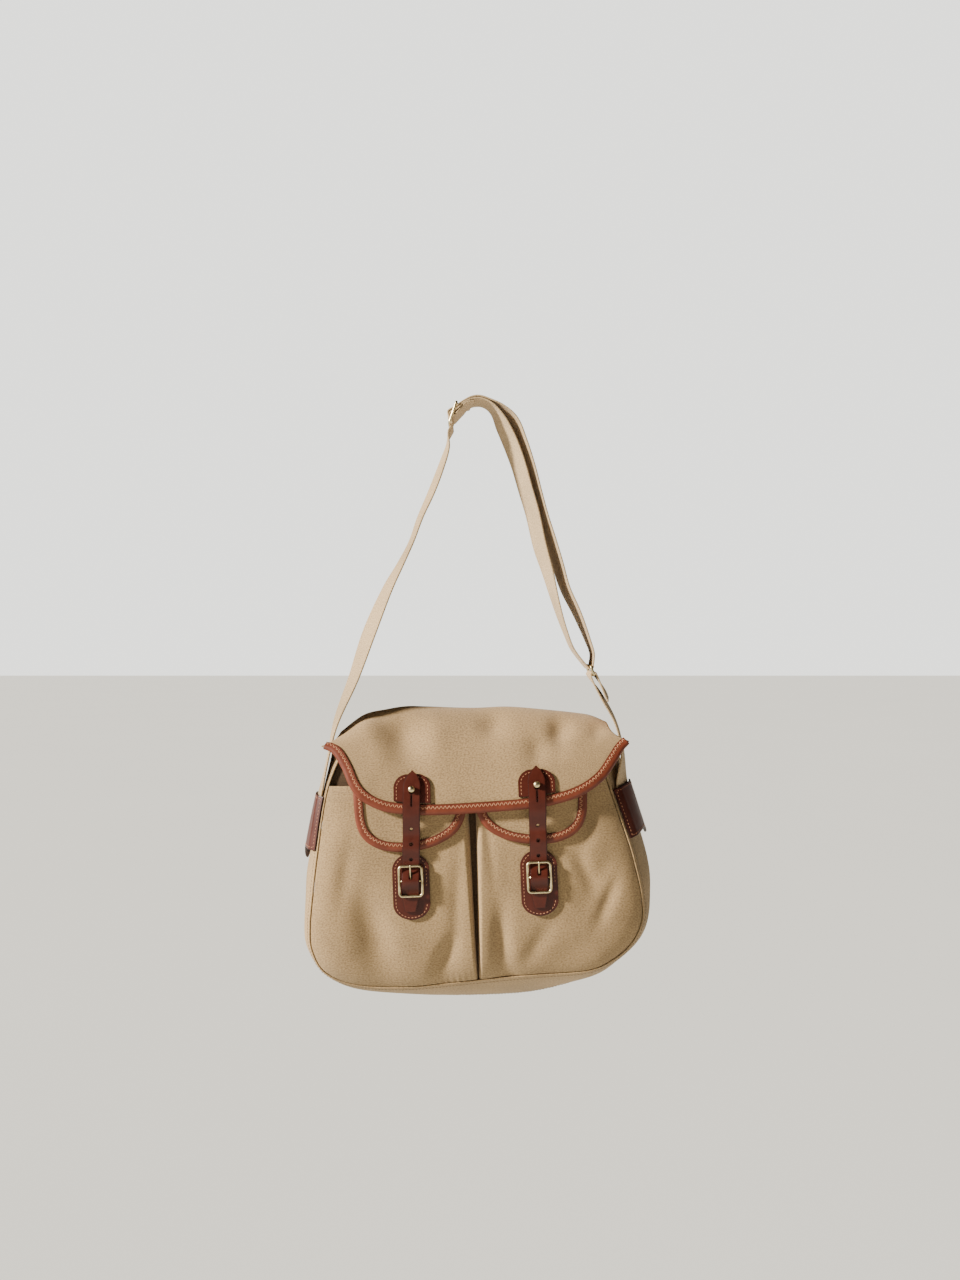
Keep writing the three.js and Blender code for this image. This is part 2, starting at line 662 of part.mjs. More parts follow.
function closingStrapLine(side) {
  const across = (z) => lerp(side.buckleX, side.studX, (z - side.buckleZ) / (STUD_HEIGHT - side.buckleZ));
  const heights = [STRAP_TIP_HEIGHT, 87, 80, STUD_HEIGHT, 68, 62];
  const upper = heights.map((z) => onFlap(across(z), z, STUD_STRAP_LIFT));
  const last = upper[upper.length - 1];
  const pocketEdge = POCKET_FLAP_FOLD - POCKET_FLAP_DROP * side.flapDrop;
  const overEdge = [54, 47].map((z) => v(across(z), last.y - 0.9, z));
  const restLift = POCKET_FLAP_LIFT + BINDING_LIFT + 2 * GAP + STRAP_LEATHER / 2;
  const flapRest = (z) => pocketDepth(across(z), z) - restLift;
  const overPocketFlap = [30, pocketEdge + 8, pocketEdge].map((z) => v(across(z), flapRest(z), z));
  const reach = BUCKLE_HEIGHT / 2 - BUCKLE_WIRE;
  const offsets = [reach + 8, reach + 3, ...steps(10, reach, -reach), -reach - 4, -STRAP_TAIL];
  const throughBuckle = offsets.map((offset) => {
    const z = side.buckleZ + offset;
    const arch = Math.abs(offset) < reach ? (1 + Math.cos(Math.PI * offset / reach)) / 2 : 0;
    const lift = lerp(GAP + STRAP_LEATHER / 2, STRAP_OVER_BAR, arch);
    return v(across(z), pocketDepth(side.buckleX, z) - PATCH_FRONT - lift, z);
  });
  return [...upper, ...overEdge, ...overPocketFlap, ...throughBuckle];
}

function closingStrapHalf(z, side) {
  const tip = Math.min(1, (STRAP_TIP_HEIGHT - z) / CLOSING_POINT);
  const tail = Math.max(0, (side.buckleZ - BUCKLE_HEIGHT / 2 - z) / (STRAP_TAIL - BUCKLE_HEIGHT / 2));
  return CLOSING_STRAP_WIDTH / 2 * Math.max(0.12, Math.sqrt(Math.max(tip, 0))) * (1 - 0.35 * tail);
}

function punch(x, z, width, height) {
  const shape = new THREE.Shape();
  const corner = width / 2;
  const straight = Math.max(0, height / 2 - corner);
  shape.absarc(0, straight, corner, 0, Math.PI, false);
  shape.absarc(0, -straight, corner, Math.PI, 2 * Math.PI, false);
  const length = BELLY_DEPTH;
  const tool = new THREE.ExtrudeGeometry(shape, { depth: length, bevelEnabled: false, curveSegments: 2 });
  tool.rotateX(Math.PI / 2);
  tool.translate(x, -BELLY_DEPTH / 2, z);
  return tool;
}

function closingStrapGeometry(side) {
  const line = closingStrapLine(side);
  const curve = new THREE.CatmullRomCurve3(line, false, 'centripetal');
  const points = steps(line.length + 6).map((share) => curve.getPoint(share));
  const grid = points.map((point) => [-1, 1].map((edge) => (
    point.clone().setX(point.x + edge * closingStrapHalf(point.z, side)))));
  const across = (z) => lerp(side.buckleX, side.studX, (z - side.buckleZ) / (STUD_HEIGHT - side.buckleZ));
  const holes = [2, 3, 4].map((order) => {
    const z = side.buckleZ + order * HOLE_PITCH + TONGUE_HOLE - HOLE_PITCH;
    return punch(across(z), z, HOLE_DIAMETER, HOLE_DIAMETER);
  });
  const tongueZ = side.buckleZ + TONGUE_HOLE;
  const studHole = STUD_NECK + 2 * GAP + 0.6;
  return cutAll(sheetGeometry(grid, STRAP_LEATHER), [
    ...holes,
    punch(across(tongueZ), tongueZ, HOLE_DIAMETER, HOLE_DIAMETER + 4.4),
    punch(across(STUD_HEIGHT), STUD_HEIGHT, studHole, studHole + 2.4),
    punch(across(STUD_HEIGHT - 8), STUD_HEIGHT - 8, 1.4, 13),
  ]);
}

// Button stud: neck through the strap and a round head over it
function studGeometry() {
  const neck = STUD_NECK / 2;
  const head = STUD_HEAD / 2;
  const under = STRAP_LEATHER + 3 * GAP;
  const dome = steps(5, 0, Math.PI / 2).map((angle) => new THREE.Vector2(
    head * Math.cos(angle), under + head * 0.35 + head * 0.65 * Math.sin(angle)));
  dome[dome.length - 1].x = 0;
  return new THREE.LatheGeometry([
    new THREE.Vector2(0, 0),
    new THREE.Vector2(neck, 0),
    new THREE.Vector2(neck, under),
    new THREE.Vector2(head * 0.8, under),
    ...dome,
  ], 12);
}

// Round wire along a path
function wireGeometry(points, diameter, count) {
  const circle = new THREE.Shape();
  circle.absarc(0, 0, diameter / 2, 0, 2 * Math.PI, false);
  const path = new THREE.CatmullRomCurve3(points, false, 'centripetal');
  return new THREE.ExtrudeGeometry(circle, {
    steps: count, extrudePath: path, bevelEnabled: false, curveSegments: 4,
  });
}

// Rectangular wire frame in the XZ plane with rounded corners and cross bars.
// The bevel turns the square section into an octagon.
const WIRE_BEVEL = 0.29;

function frameGeometry(width, height, wire, corner, bars) {
  const halfX = (width - wire) / 2;
  const halfZ = (height - wire) / 2;
  const outline = (grow) => {
    const shape = new THREE.Shape();
    const [x, z, radius] = [halfX + grow, halfZ + grow, corner + grow];
    shape.absarc(x - radius, z - radius, radius, 0, Math.PI / 2, false);
    shape.absarc(radius - x, z - radius, radius, Math.PI / 2, Math.PI, false);
    shape.absarc(radius - x, radius - z, radius, Math.PI, Math.PI * 1.5, false);
    shape.absarc(x - radius, radius - z, radius, Math.PI * 1.5, Math.PI * 2, false);
    return shape;
  };
  const bevel = wire * WIRE_BEVEL;
  const frame = outline(wire / 2 - bevel);
  frame.holes.push(outline(bevel - wire / 2));
  const body = new THREE.ExtrudeGeometry(frame, {
    depth: wire - 2 * bevel, bevelEnabled: true, bevelSize: bevel, bevelThickness: bevel, bevelSegments: 1,
    curveSegments: 2,
  });
  body.translate(0, 0, bevel - wire / 2);
  body.rotateX(Math.PI / 2);
  const rods = bars.map(([z, diameter]) => {
    const rod = new THREE.CylinderGeometry(diameter / 2, diameter / 2, 2 * halfX, 10);
    rod.rotateZ(Math.PI / 2);
    rod.translate(0, 0, z);
    return rod;
  });
  return joinAll([body, ...rods]);
}

// Buckle tongue: hooked round the centre bar, through the strap, resting on the top bar
const TONGUE_HOLE = 5.6;

function tongueGeometry() {
  const hook = BUCKLE_BAR / 2 + GAP + TONGUE_WIRE / 2;
  const rest = BUCKLE_WIRE / 2 + GAP + TONGUE_WIRE / 2;
  const top = (BUCKLE_HEIGHT - BUCKLE_WIRE) / 2;
  return wireGeometry([
    v(0, hook * 0.85, -hook * 0.55),
    v(0, hook, 0),
    v(0, hook * 0.75, hook * 0.75),
    v(0, -hook * 0.1, hook * 1.35),
    v(0, -rest * 0.5, top * 0.5),
    v(0, -rest * 0.95, top * 0.85),
    v(0, -rest * 1.05, top + 1.2),
  ], TONGUE_WIRE, 12);
}

// Side tab: leather chape over the strap's end on the gusset, with a pointed rear wing
const TAB_TOP_SHARE = 1.13;
const TAB_FOOT_SHARE = 1.97;
const TAB_FRONT = 0.035;
const TAB_BACK = 0.93;
const STRAP_SHARE = 0.4;
const STRAP_EASE = 0.4;
const TAB_EASE = 1.1;
const STRAP_LIFT = CANVAS / 2 + 2 * GAP + WEBBING / 2 + STRAP_EASE;
const TAB_OVER = STRAP_LIFT + WEBBING / 2 + 2 * GAP + TAB_LEATHER / 2 + TAB_EASE;
const TAB_EDGE = CANVAS / 2 + GAP + TAB_LEATHER / 2;

const sideRow = (side, row) => (side.out < 0 ? row : LAST_ROW - row);

function onGusset(side, row, share, lift) {
  const at = (r, s) => gussetPoint(sideRow(side, r), s);
  const down = at(row + 0.02, share).sub(at(row - 0.02, share));
  const across = at(row, share + 0.02).sub(at(row, share - 0.02));
  const normal = down.cross(across).normalize();
  if (normal.x * side.out < 0) normal.negate();
  return at(row, share).addScaledVector(normal, lift);
}

function tabGrid(side) {
  const acrossShares = [0, 0.05, 0.11, 0.2, 0.32, 0.44, 0.56, 0.68, 0.78, 0.88, 1];
  const lifts = [0, 0.45, 1, 1, 1, 1, 1, 1, 0.95, 0.75, 0.6];
  const drops = [0, 0, 0, 0, 0, 0, 0.02, 0.12, 0.24, 0.3, 0.02];
  return acrossShares.map((share, index) => steps(5).map((down) => {
    const foot = TAB_FOOT_SHARE + drops[index];
    const lift = lerp(TAB_EDGE, TAB_OVER, lifts[index]);
    return onGusset(side, lerp(TAB_TOP_SHARE, foot, down), lerp(TAB_FRONT, TAB_BACK, share), lift);
  }));
}

// Shoulder strap. Stations give the middle line of the web: x share of STRAP_SPREAD, y share of
// TAB_DEPTH, z share of STRAP_FALL, and the sideways lean of the web as a share of its width.
const STRAP_SPREAD = 165;
const STRAP_FALL = 424;
const TAB_DEPTH = 20;
const LAYER_PITCH = 2.4;
const GUSSET_BOW = 2.1;
const STRAP_RISE = [0, 0, 0.2, 0.8];
const SLIDER_PLACE = v(-29.4, -1, -15.6);
const SLIDER_TILT = THREE.MathUtils.degToRad(19);
const RING_PLACE = v(120, -18, -295.7);
const RING_TILT = THREE.MathUtils.degToRad(20);
const STRAP_COLUMNS = ['x', 'y', 'z', 'lean'];
const LEFT_FALL_ROWS = [
  [-0.96, 0.65, -0.837, 0.24],
  [-0.838, 0.7, -0.718, 0.38],
  [-0.736, 0.6, -0.601, 0.46],
  [-0.61, 0.5, -0.483, 0.34],
  [-0.53, 0.42, -0.423, 0.2],
  [-0.456, 0.35, -0.363, 0.1],
  [-0.401, 0.3, -0.303, 0.12],
  [-0.332, 0.25, -0.242, 0.16],
  [-0.273, 0.17, -0.182, 0.16],
  [-0.226, 0.1, -0.125, 0.12],
];
const OUTER_FALL_ROWS = [
  [0.07, 0, -0.002, 0.03],
  [0.142, 0.02, -0.02, 0.13],
  [0.216, 0.08, -0.056, 0.32],
  [0.275, 0.15, -0.112, 0.32],
  [0.33, 0.22, -0.179, 0.31],
  [0.372, 0.3, -0.241, 0.29],
  [0.413, 0.38, -0.3, 0.28],
  [0.466, 0.47, -0.362, 0.25],
  [0.517, 0.57, -0.425, 0.22],
  [0.565, 0.66, -0.487, 0.17],
  [0.643, 0.76, -0.552, 0.12],
  [0.71, 0.84, -0.618, 0.04],
  [0.741, 0.88, -0.656, 0],
];
const INNER_RISE_ROWS = [
  [0.612, 0.84, -0.644, 0],
  [0.568, 0.78, -0.602, 0.02],
  [0.528, 0.72, -0.556, 0.07],
  [0.493, 0.65, -0.508, 0.13],
  [0.451, 0.57, -0.445, 0.22],
  [0.398, 0.48, -0.376, 0.29],
  [0.35, 0.39, -0.291, 0.31],
  [0.302, 0.3, -0.226, 0.32],
  [0.254, 0.2, -0.16, 0.33],
  [0.199, 0.1, -0.102, 0.33],
  [0.142, 0.06, -0.055, 0.27],
  [0.09, 0.02, -0.02, 0.1],
  [0.046, 0, -0.0045, 0.02],
];

function strapStations(rows) {
  return namedRows(STRAP_COLUMNS, rows).map((row) => ({
    x: row.x * STRAP_SPREAD, y: -row.y * TAB_DEPTH, z: row.z * STRAP_FALL, lean: row.lean, bow: 0,
  }));
}

const station = (point, lean, bow = 0) => ({ x: point.x, y: point.y, z: point.z, lean, bow });

function toRow(point) {
  return point.clone().applyAxisAngle(v(0, 1, 0), -BAG_ROLL).add(BAG_PLACE);
}

function bandGrid(stations, perStation) {
  const centres = stations.map((entry) => v(entry.x, entry.y, entry.z));
  const curve = new THREE.CatmullRomCurve3(centres, false, 'centripetal');
  const count = Math.round((stations.length - 1) * perStation);
  return steps(count).map((share) => {
    const position = share * (stations.length - 1);
    const tangent = curve.getTangent(share);
    const forward = v(0, -1, 0);
    forward.addScaledVector(tangent, -forward.dot(tangent)).normalize();
    const sideways = tangent.clone().cross(forward);
    if (sideways.x < 0) sideways.negate();
    const lean = rowValue(stations, 'lean', position);
    const across = forward.multiplyScalar(Math.sqrt(1 - lean * lean)).addScaledVector(sideways, lean);
    const outward = tangent.clone().cross(across);
    const bow = rowValue(stations, 'bow', position);
    return [-1, 0, 1].map((edge) => curve.getPoint(share)
      .addScaledVector(across, edge * WEBBING_WIDTH / 2)
      .addScaledVector(outward, bow * edge * edge));
  });
}

// The web under a side tab, from its foot up to where it leaves the gusset
function tabStations(side) {
  return [1.86, 1.6, 1.35, 1.13].map((row, index) => {
    const across = onGusset(side, row, 0.1, 0).sub(onGusset(side, row, 0.7, 0)).normalize();
    const lift = STRAP_LIFT + STRAP_RISE[index];
    return station(toRow(onGusset(side, row, STRAP_SHARE, lift)), across.x, -side.out * GUSSET_BOW);
  });
}

// Web turned round a bar of the slider or the ring, angles from the left side over the lower side
function wrap(onPlane, along, radius, from, to) {
  return steps(4, from, to).map((degrees) => {
    const angle = THREE.MathUtils.degToRad(degrees);
    return onPlane(along + radius * Math.sin(angle), radius * Math.cos(angle));
  });
}

// Places in the plane of the slider or the ring: along it downwards, and out of it to the left
function inPlane(place, tilt, along, out) {
  const down = v(Math.sin(tilt), 0, -Math.cos(tilt));
  const left = v(-Math.cos(tilt), 0, -Math.sin(tilt));
  return place.clone().addScaledVector(down, along).addScaledVector(left, out);
}

const onSlider = (along, out) => station(inPlane(SLIDER_PLACE, -SLIDER_TILT, along, out), 0);
const onRing = (along, out) => station(inPlane(RING_PLACE, RING_TILT, along, out), 0);

function longStrapGrid() {
  const [left] = SIDES;
  const half = SLIDER_LENGTH / 2;
  const rest = SLIDER_WIRE / 2 + GAP + WEBBING / 2 + 0.1;
  const ringRest = RING_WIRE / 2 + 2 * GAP + WEBBING / 2;
  const pitch = LAYER_PITCH + 0.4;
  const upper = -RING_LENGTH / 2;
  const stations = [
    ...tabStations(left),
    station(toRow(v(-163.5, -14, 97)), 0.14, GUSSET_BOW / 2),
    ...strapStations(LEFT_FALL_ROWS),
    onSlider(half + 9, -rest * 0.6),
    onSlider(half, -rest - 0.4),
    onSlider(half * 0.75, -rest * 0.6),
    onSlider(half / 2, rest * 0.35),
    onSlider(0, rest + pitch + 0.3),
    onSlider(-half / 2, rest * 0.45),
    onSlider(-half * 0.75, -rest * 0.6),
    onSlider(-half, -rest - 0.5),
    station(v(-9, 0, WEBBING / 2 + LAYER_PITCH - 0.6), 0.01),
    station(v(0, 0, WEBBING / 2 + LAYER_PITCH + 0.1), 0),
    ...strapStations(OUTER_FALL_ROWS),
    ...wrap(onRing, upper, ringRest, 180, 0),
    ...strapStations(INNER_RISE_ROWS),
    station(v(0, 0, WEBBING / 2), 0),
    station(v(-9, 0, WEBBING / 2 - 0.8), 0),
    onSlider(-half - 1, -rest - pitch - 0.7),
    onSlider(-half * 0.75, -rest - pitch * 0.6),
    onSlider(-half * 0.45, -rest * 0.8),
    ...wrap(onSlider, 0, rest + 0.3, 0, 180),
    onSlider(-half * 0.75, -rest - pitch - 1.6),
    onSlider(-half - 3, -rest - 2 * pitch - 1.4),
    station(v(-9, 0, WEBBING / 2 - 0.8 - LAYER_PITCH - 0.4), 0.01),
  ];
  return bandGrid(stations, 1.5);
}

function shortStrapGrid() {
  const right = SIDES[1];
  const rest = RING_WIRE / 2 + 2 * GAP + WEBBING / 2;
  const lower = RING_LENGTH / 2;
  const lean = -0.15;
  return bandGrid([
    ...tabStations(right),
    station(toRow(v(161, -18, 100)), -0.2),
    station(v(STRAP_SPREAD * 0.895, -TAB_DEPTH * 0.86, -STRAP_FALL * 0.831), lean),
    station(v(STRAP_SPREAD * 0.798, -TAB_DEPTH * 0.91, -STRAP_FALL * 0.762), lean),
    ...wrap(onRing, lower, rest, 0, -180),
    station(v(STRAP_SPREAD * 0.798 + 4, -TAB_DEPTH * 0.91, -STRAP_FALL * 0.762 + 4), lean),
    station(v(STRAP_SPREAD * 0.798 + 8, -TAB_DEPTH * 0.91, -STRAP_FALL * 0.762 - 5), lean),
  ], 2);
}

function placeInPlane(geometry, place, tilt) {
  geometry.rotateZ(-Math.PI / 2);
  geometry.rotateY(-tilt);
  geometry.translate(place.x, place.y, place.z);
  return geometry;
}

function sliderGeometry() {
  const width = WEBBING_WIDTH + 2 * (HARDWARE_CLEARANCE + SLIDER_WIRE);
  const frame = frameGeometry(width, SLIDER_LENGTH + SLIDER_WIRE, SLIDER_WIRE, 3, [[0, SLIDER_WIRE]]);
  return placeInPlane(frame, SLIDER_PLACE, -SLIDER_TILT);
}

function ringGeometry() {
  const width = WEBBING_WIDTH + 2 * (HARDWARE_CLEARANCE + RING_WIRE);
  return placeInPlane(frameGeometry(width, RING_LENGTH + RING_WIRE, RING_WIRE, 4, []), RING_PLACE, RING_TILT);
}

// Assembly
function piece(name, geometry, look) {
  const mesh = new THREE.Mesh(geometry, new THREE.MeshStandardMaterial(COLOURS[look]));
  mesh.name = name;
  return mesh;
}

const sheetPiece = (name, grid, thickness, look) => piece(name, sheetGeometry(grid, thickness), look);

const bag = new THREE.Group();
bag.position.copy(BAG_PLACE);
bag.rotation.y = -BAG_ROLL;

bag.add(sheetPiece('gusset', gussetGrid(), CANVAS, 'canvas'));
bag.add(sheetPiece('front_panel', frontPanelGrid(), CANVAS, 'inner'));
bag.add(sheetPiece('back_panel', backPanelGrid(), CANVAS, 'canvas'));
bag.add(sheetPiece('flap', surfaceGrid(flapPoint, FLAP_SHARES, FLAP_DOWNS), FLAP_CANVAS, 'canvas'));
const boundFlap = bindingGrid(placeFromEdge(flapPoint), BINDING_WIDTH, boundRows(FLAP_SHARES));
bag.add(sheetPiece('flap_binding', boundFlap, BINDING_LEATHER, 'bindingLeather'));

for (const side of SIDES) {
  const flap = surfaceGrid(pocketFlapPoint(side), POCKET_FLAP_SHARES, POCKET_FLAP_DOWNS);
  const binding = bindingGrid(placeOnPocketFlap(side), POCKET_BINDING_WIDTH, boundRows(POCKET_FLAP_SHARES));
  const slope = Math.atan((pocketDepth(side.buckleX, side.buckleZ + 10)
    - pocketDepth(side.buckleX, side.buckleZ - 10)) / 20);
  const centre = buckleCentre(side);
  bag.add(sheetPiece(`pocket_${side.name}`, pocketGrid(side), CANVAS, 'canvas'));
  bag.add(sheetPiece(`pocket_flap_${side.name}`, flap, FLAP_CANVAS, 'canvas'));
  bag.add(sheetPiece(`pocket_flap_binding_${side.name}`, binding, BINDING_LEATHER, 'bindingLeather'));
  bag.add(sheetPiece(`stud_patch_${side.name}`, studPatchGrid(side), PATCH_LEATHER, 'strapLeather'));
  bag.add(sheetPiece(`buckle_patch_${side.name}`, bucklePatchGrid(side), PATCH_LEATHER, 'strapLeather'));
  bag.add(piece(`closing_strap_${side.name}`, closingStrapGeometry(side), 'strapLeather'));
  bag.add(sheetPiece(`side_tab_${side.name}`, tabGrid(side), TAB_LEATHER, 'bindingLeather'));

  const stud = piece(`stud_${side.name}`, studGeometry(), 'brass');
  const seat = FLAP_CANVAS / 2 + GAP + PATCH_LEATHER + GAP;
  const foot = onFlap(side.studX, STUD_HEIGHT, seat);
  const out = onFlap(side.studX, STUD_HEIGHT, seat + 1).sub(foot);
  stud.position.copy(foot);
  stud.quaternion.setFromUnitVectors(v(0, 1, 0), out.normalize());
  bag.add(stud);

  const buckle = new THREE.Group();
  buckle.position.copy(centre).add(v(0, -BUCKLE_PLANE, 0));
  buckle.rotation.x = -slope;
  buckle.add(piece(`buckle_${side.name}`,
    frameGeometry(BUCKLE_WIDTH, BUCKLE_HEIGHT, BUCKLE_WIRE, 5, [[0, BUCKLE_BAR]]), 'brass'));
  buckle.add(piece(`buckle_tongue_${side.name}`, tongueGeometry(), 'brass'));
  bag.add(buckle);
}

const model = new THREE.Group();
model.add(bag);
model.add(sheetPiece('shoulder_strap_long', longStrapGrid(), WEBBING, 'webbing'));
model.add(sheetPiece('shoulder_strap_short', shortStrapGrid(), WEBBING, 'webbing'));
model.add(piece('strap_slider', sliderGeometry(), 'brass'));
model.add(piece('strap_ring', ringGeometry(), 'brass'));

export default model;
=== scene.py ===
"""Canvas fishing creel bag with leather trim, dressed around its frame.

Surfaces are worked out in millimetres in the bag's own frame and laid in the row frame in metres.
Sizes without a unit are in millimetres, and shapes come from named sizes and short tables.
"""

import math

import bmesh
import bpy
import numpy as np
from bpy.props import FloatProperty, FloatVectorProperty, PointerProperty
from mathutils import Matrix, Vector


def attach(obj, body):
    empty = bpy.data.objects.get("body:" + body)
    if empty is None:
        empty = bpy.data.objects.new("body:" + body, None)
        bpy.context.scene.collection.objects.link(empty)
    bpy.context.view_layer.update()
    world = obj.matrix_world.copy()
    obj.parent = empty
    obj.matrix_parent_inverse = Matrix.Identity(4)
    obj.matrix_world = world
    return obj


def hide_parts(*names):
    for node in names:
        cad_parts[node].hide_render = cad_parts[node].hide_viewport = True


bl_info = {
    "name": "Fishing Creel Bag",
    "version": (1, 0, 0),
    "blender": (4, 5, 0),
    "location": "View3D > Sidebar > Creel Bag",
    "description": "Builds the canvas, leather, webbing and brass of a hanging fishing creel bag",
    "category": "Object",
}

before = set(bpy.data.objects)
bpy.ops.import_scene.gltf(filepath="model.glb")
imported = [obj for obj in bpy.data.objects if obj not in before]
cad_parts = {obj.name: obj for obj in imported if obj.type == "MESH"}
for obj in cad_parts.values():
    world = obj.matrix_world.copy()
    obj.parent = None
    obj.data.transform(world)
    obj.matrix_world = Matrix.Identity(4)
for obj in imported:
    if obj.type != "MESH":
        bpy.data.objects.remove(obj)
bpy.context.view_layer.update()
MM = 0.001

# Clearances and sheet thicknesses
GAP = 0.3
CANVAS = 1.6
FLAP_CANVAS = 1.4
BINDING_LEATHER = 0.9
PATCH_LEATHER = 2.0
STRAP_LEATHER = 2.2
TAB_LEATHER = 1.6
WEBBING = 1.8
WEBBING_WIDTH = 38
CLOTH_EDGE_ROUND = 0.5
TAB_EDGE_ROUND = 0.5
BINDING_EDGE_ROUND = 0.2
BURNISHED_EDGE = 1.3
CUT_EDGE_ANGLE = math.radians(50)

# Bag body
BAG_HALF_WIDTH = 190
BAG_HALF_HEIGHT = 165
BELLY_DEPTH = 52
BELLY_HEIGHT = -66
MOUTH_LEAN = 21
MOUTH_LEAN_SPAN = 1.12
FOOT_LEAN = 6
BACK_DEPTH = 15
GUSSET_BULGE = 8
SEAM_RIM = 1.5
SEAM_EASE = 0.2
PUCKER_DEPTH = 0.9
PUCKER_FADE = 9
PUCKER_RATE = 24
PUCKER_DRIFT = 1.3
PUCKER_DRIFT_RATE = 5
HOLLOW_DEPTH = 0.8
HOLLOW_RATE = 2.9
HOLLOW_START = 0.6
BAG_ROLL = math.radians(2.2)
BAG_PLACE = (-1.6, 0, -491.5)
FOOT_ROW = 9.3
SEWN_INSET = CANVAS / 2 + 0.2
BACK_INSET = CANVAS / 2 + 0.3
INNER_PANEL_SET_BACK = CANVAS * 1.5
HINGE_GAP = 0.8
PANEL_FOOT_SHARE = 0.93
BACK_PANEL_RISE = 0.12

# Pockets
POCKET_TOP = 79.5
POCKET_FULLNESS = 11
POCKET_SHOULDER = 18
POCKET_MOUTH_FLARE = 2.5
POCKET_FLARE_SPAN = 25
POCKET_INSET = SEWN_INSET + 0.5
CREASE_X = -5
CREASE_HALF = (4.9, 1.6)
CREASE_ROLL = (7, 2.5)
CREASE_FOOT = 0.8
ROLL_SHARE = 0.07
ROLL_CROWDING = 1.25

# Main flap
FLAP_HALF_WIDTH = 165
FLAP_HEIGHT = 158
FLAP_REACH = 66
FLAP_HINGE_HALF = 146
FLAP_CREST_DEPTH = 2
FLAP_BACK_DROP = 9
HINGE_END_RISE = 0.3
HINGE_END_POWER = 6
CREST_SHARE = 0.2
FLAP_SAG = 0.25
FLAP_SPREAD_POWER = 2.6
FOLDS_START = (0.22, 0.36)
FOLDS_END = (-0.9, -0.76)
BINDING_WIDTH = 9
BINDING_EASE = 0.2
BINDING_LEG = 0.36
BINDING_FOLD = 0.8

# Pocket flaps
POCKET_FLAP_HALF = 57.5
POCKET_FLAP_TOP = 97
POCKET_FLAP_FOLD = 80
POCKET_FLAP_DROP = 66
POCKET_FLAP_LIFT = 3.5
POCKET_FLAP_HANG = 0.36
POCKET_BINDING_WIDTH = 8

# Closing straps, studs and buckles
CLOSING_STRAP_WIDTH = 18
CLOSING_POINT = 12
STRAP_CELL = 1.2
STRAP_EDGE_ROUND = 0.45
STUD_HEIGHT = 74.5
STRAP_TIP_HEIGHT = 93
STRAP_TAIL = 32
STRAP_ON_FLAP = (STRAP_TIP_HEIGHT, 87, 80, STUD_HEIGHT, 68, 62)
STRAP_OVER_EDGE = (54, 47)
OVER_EDGE_SET_BACK = 0.9
STRAP_ON_POCKET = 30
STRAP_TAPER = 0.35
TIP_POWER = 0.42
TIP_FLOOR = 0.14
HOLE_DIAMETER = 3.4
HOLE_PITCH = 16
TONGUE_ROOM = 4.4
STUD_HOLE_EASE = 0.6
STUD_ROOM = 2.4
SLIT_DROP = 10
SLIT_WIDTH = 1.3
SLIT_LENGTH = 12
STUD_NECK = 3.6
STUD_HEAD = 7
STUD_RIM = 0.35
STUD_SEAT = 0.8
BUCKLE_WIDTH = 26.5
BUCKLE_HEIGHT = 33.5
BUCKLE_WIRE = 2.8
BUCKLE_BAR = 2.2
BUCKLE_CORNER = 5
BUCKLE_PATCH_WIDTH = 38.5
BUCKLE_PATCH_HEIGHT = 68
PATCH_RISE = 7
PATCH_END_RISE = 0.85
PATCH_EDGE_ROUND = 0.6
STUD_PATCH_WIDTH = 38.5
STUD_PATCH_TOP = 90
STUD_PATCH_CORNER = 14
STUD_PATCH_CLEARANCE = 1
STUD_PATCH_FLATTENING = 0.98
TONGUE_WIRE = 1.6
TONGUE_HOLE = 5.6
PATCH_LIFT = CANVAS / 2 + GAP + PATCH_LEATHER / 2
PATCH_FRONT = PATCH_LIFT + PATCH_LEATHER / 2
BUCKLE_PLANE = GAP + STRAP_LEATHER + GAP + BUCKLE_WIRE / 2
STRAP_OVER_BAR = BUCKLE_PLANE + BUCKLE_BAR / 2 + GAP + STRAP_LEATHER / 2
STUD_PATCH_FRONT = FLAP_CANVAS / 2 + GAP + PATCH_LEATHER
STUD_STRAP_LIFT = STUD_PATCH_FRONT + GAP + STRAP_LEATHER / 2
BINDING_LIFT = FLAP_CANVAS / 2 + GAP + BINDING_LEATHER + BINDING_EASE

# Side tabs and shoulder strap
TAB_TOP_SHARE = 1.13
TAB_FOOT_SHARE = 1.97
TAB_FRONT = 0.035
TAB_BACK = 0.93
STRAP_SHARE = 0.4
STRAP_EASE = 0.4
TAB_EASE = 1.1
STRAP_LIFT = CANVAS / 2 + 2 * GAP + WEBBING / 2 + STRAP_EASE
TAB_OVER = STRAP_LIFT + WEBBING / 2 + 2 * GAP + TAB_LEATHER / 2 + TAB_EASE
TAB_EDGE = CANVAS / 2 + GAP + TAB_LEATHER / 2
STRAP_SPREAD = 165
STRAP_FALL = 424
TAB_DEPTH = 20
LAYER_PITCH = 2.4
GUSSET_BOW = 2.1
BAR_REST = 0.1
SLIDER_PITCH = LAYER_PITCH + 0.4
BESIDE_TOP = -9
BESIDE_DROP = 0.8
SHORT_LEAN = -0.15
SLIDER_LENGTH = 24
SLIDER_WIRE = 2.8
SLIDER_PLACE = (-29.4, -1, -15.6)
SLIDER_TILT = math.radians(19)
RING_LENGTH = 10
RING_WIRE = 3.0
RING_PLACE = (120, -18, -295.7)
RING_TILT = math.radians(20)
HARDWARE_CLEARANCE = 1.5
STRAP_STEPS = 6

# Sides of round wire, as drawn
FRAME_SIDES = 16
WIRE_SIDES = 12

# Steps for slopes: in rows of the seam, in shares of a surface, and along a drawn line
ROW_STEP = 0.05
SHARE_STEP = 0.004
EDGE_STEP = 0.002
LINE_STEP = 0.003

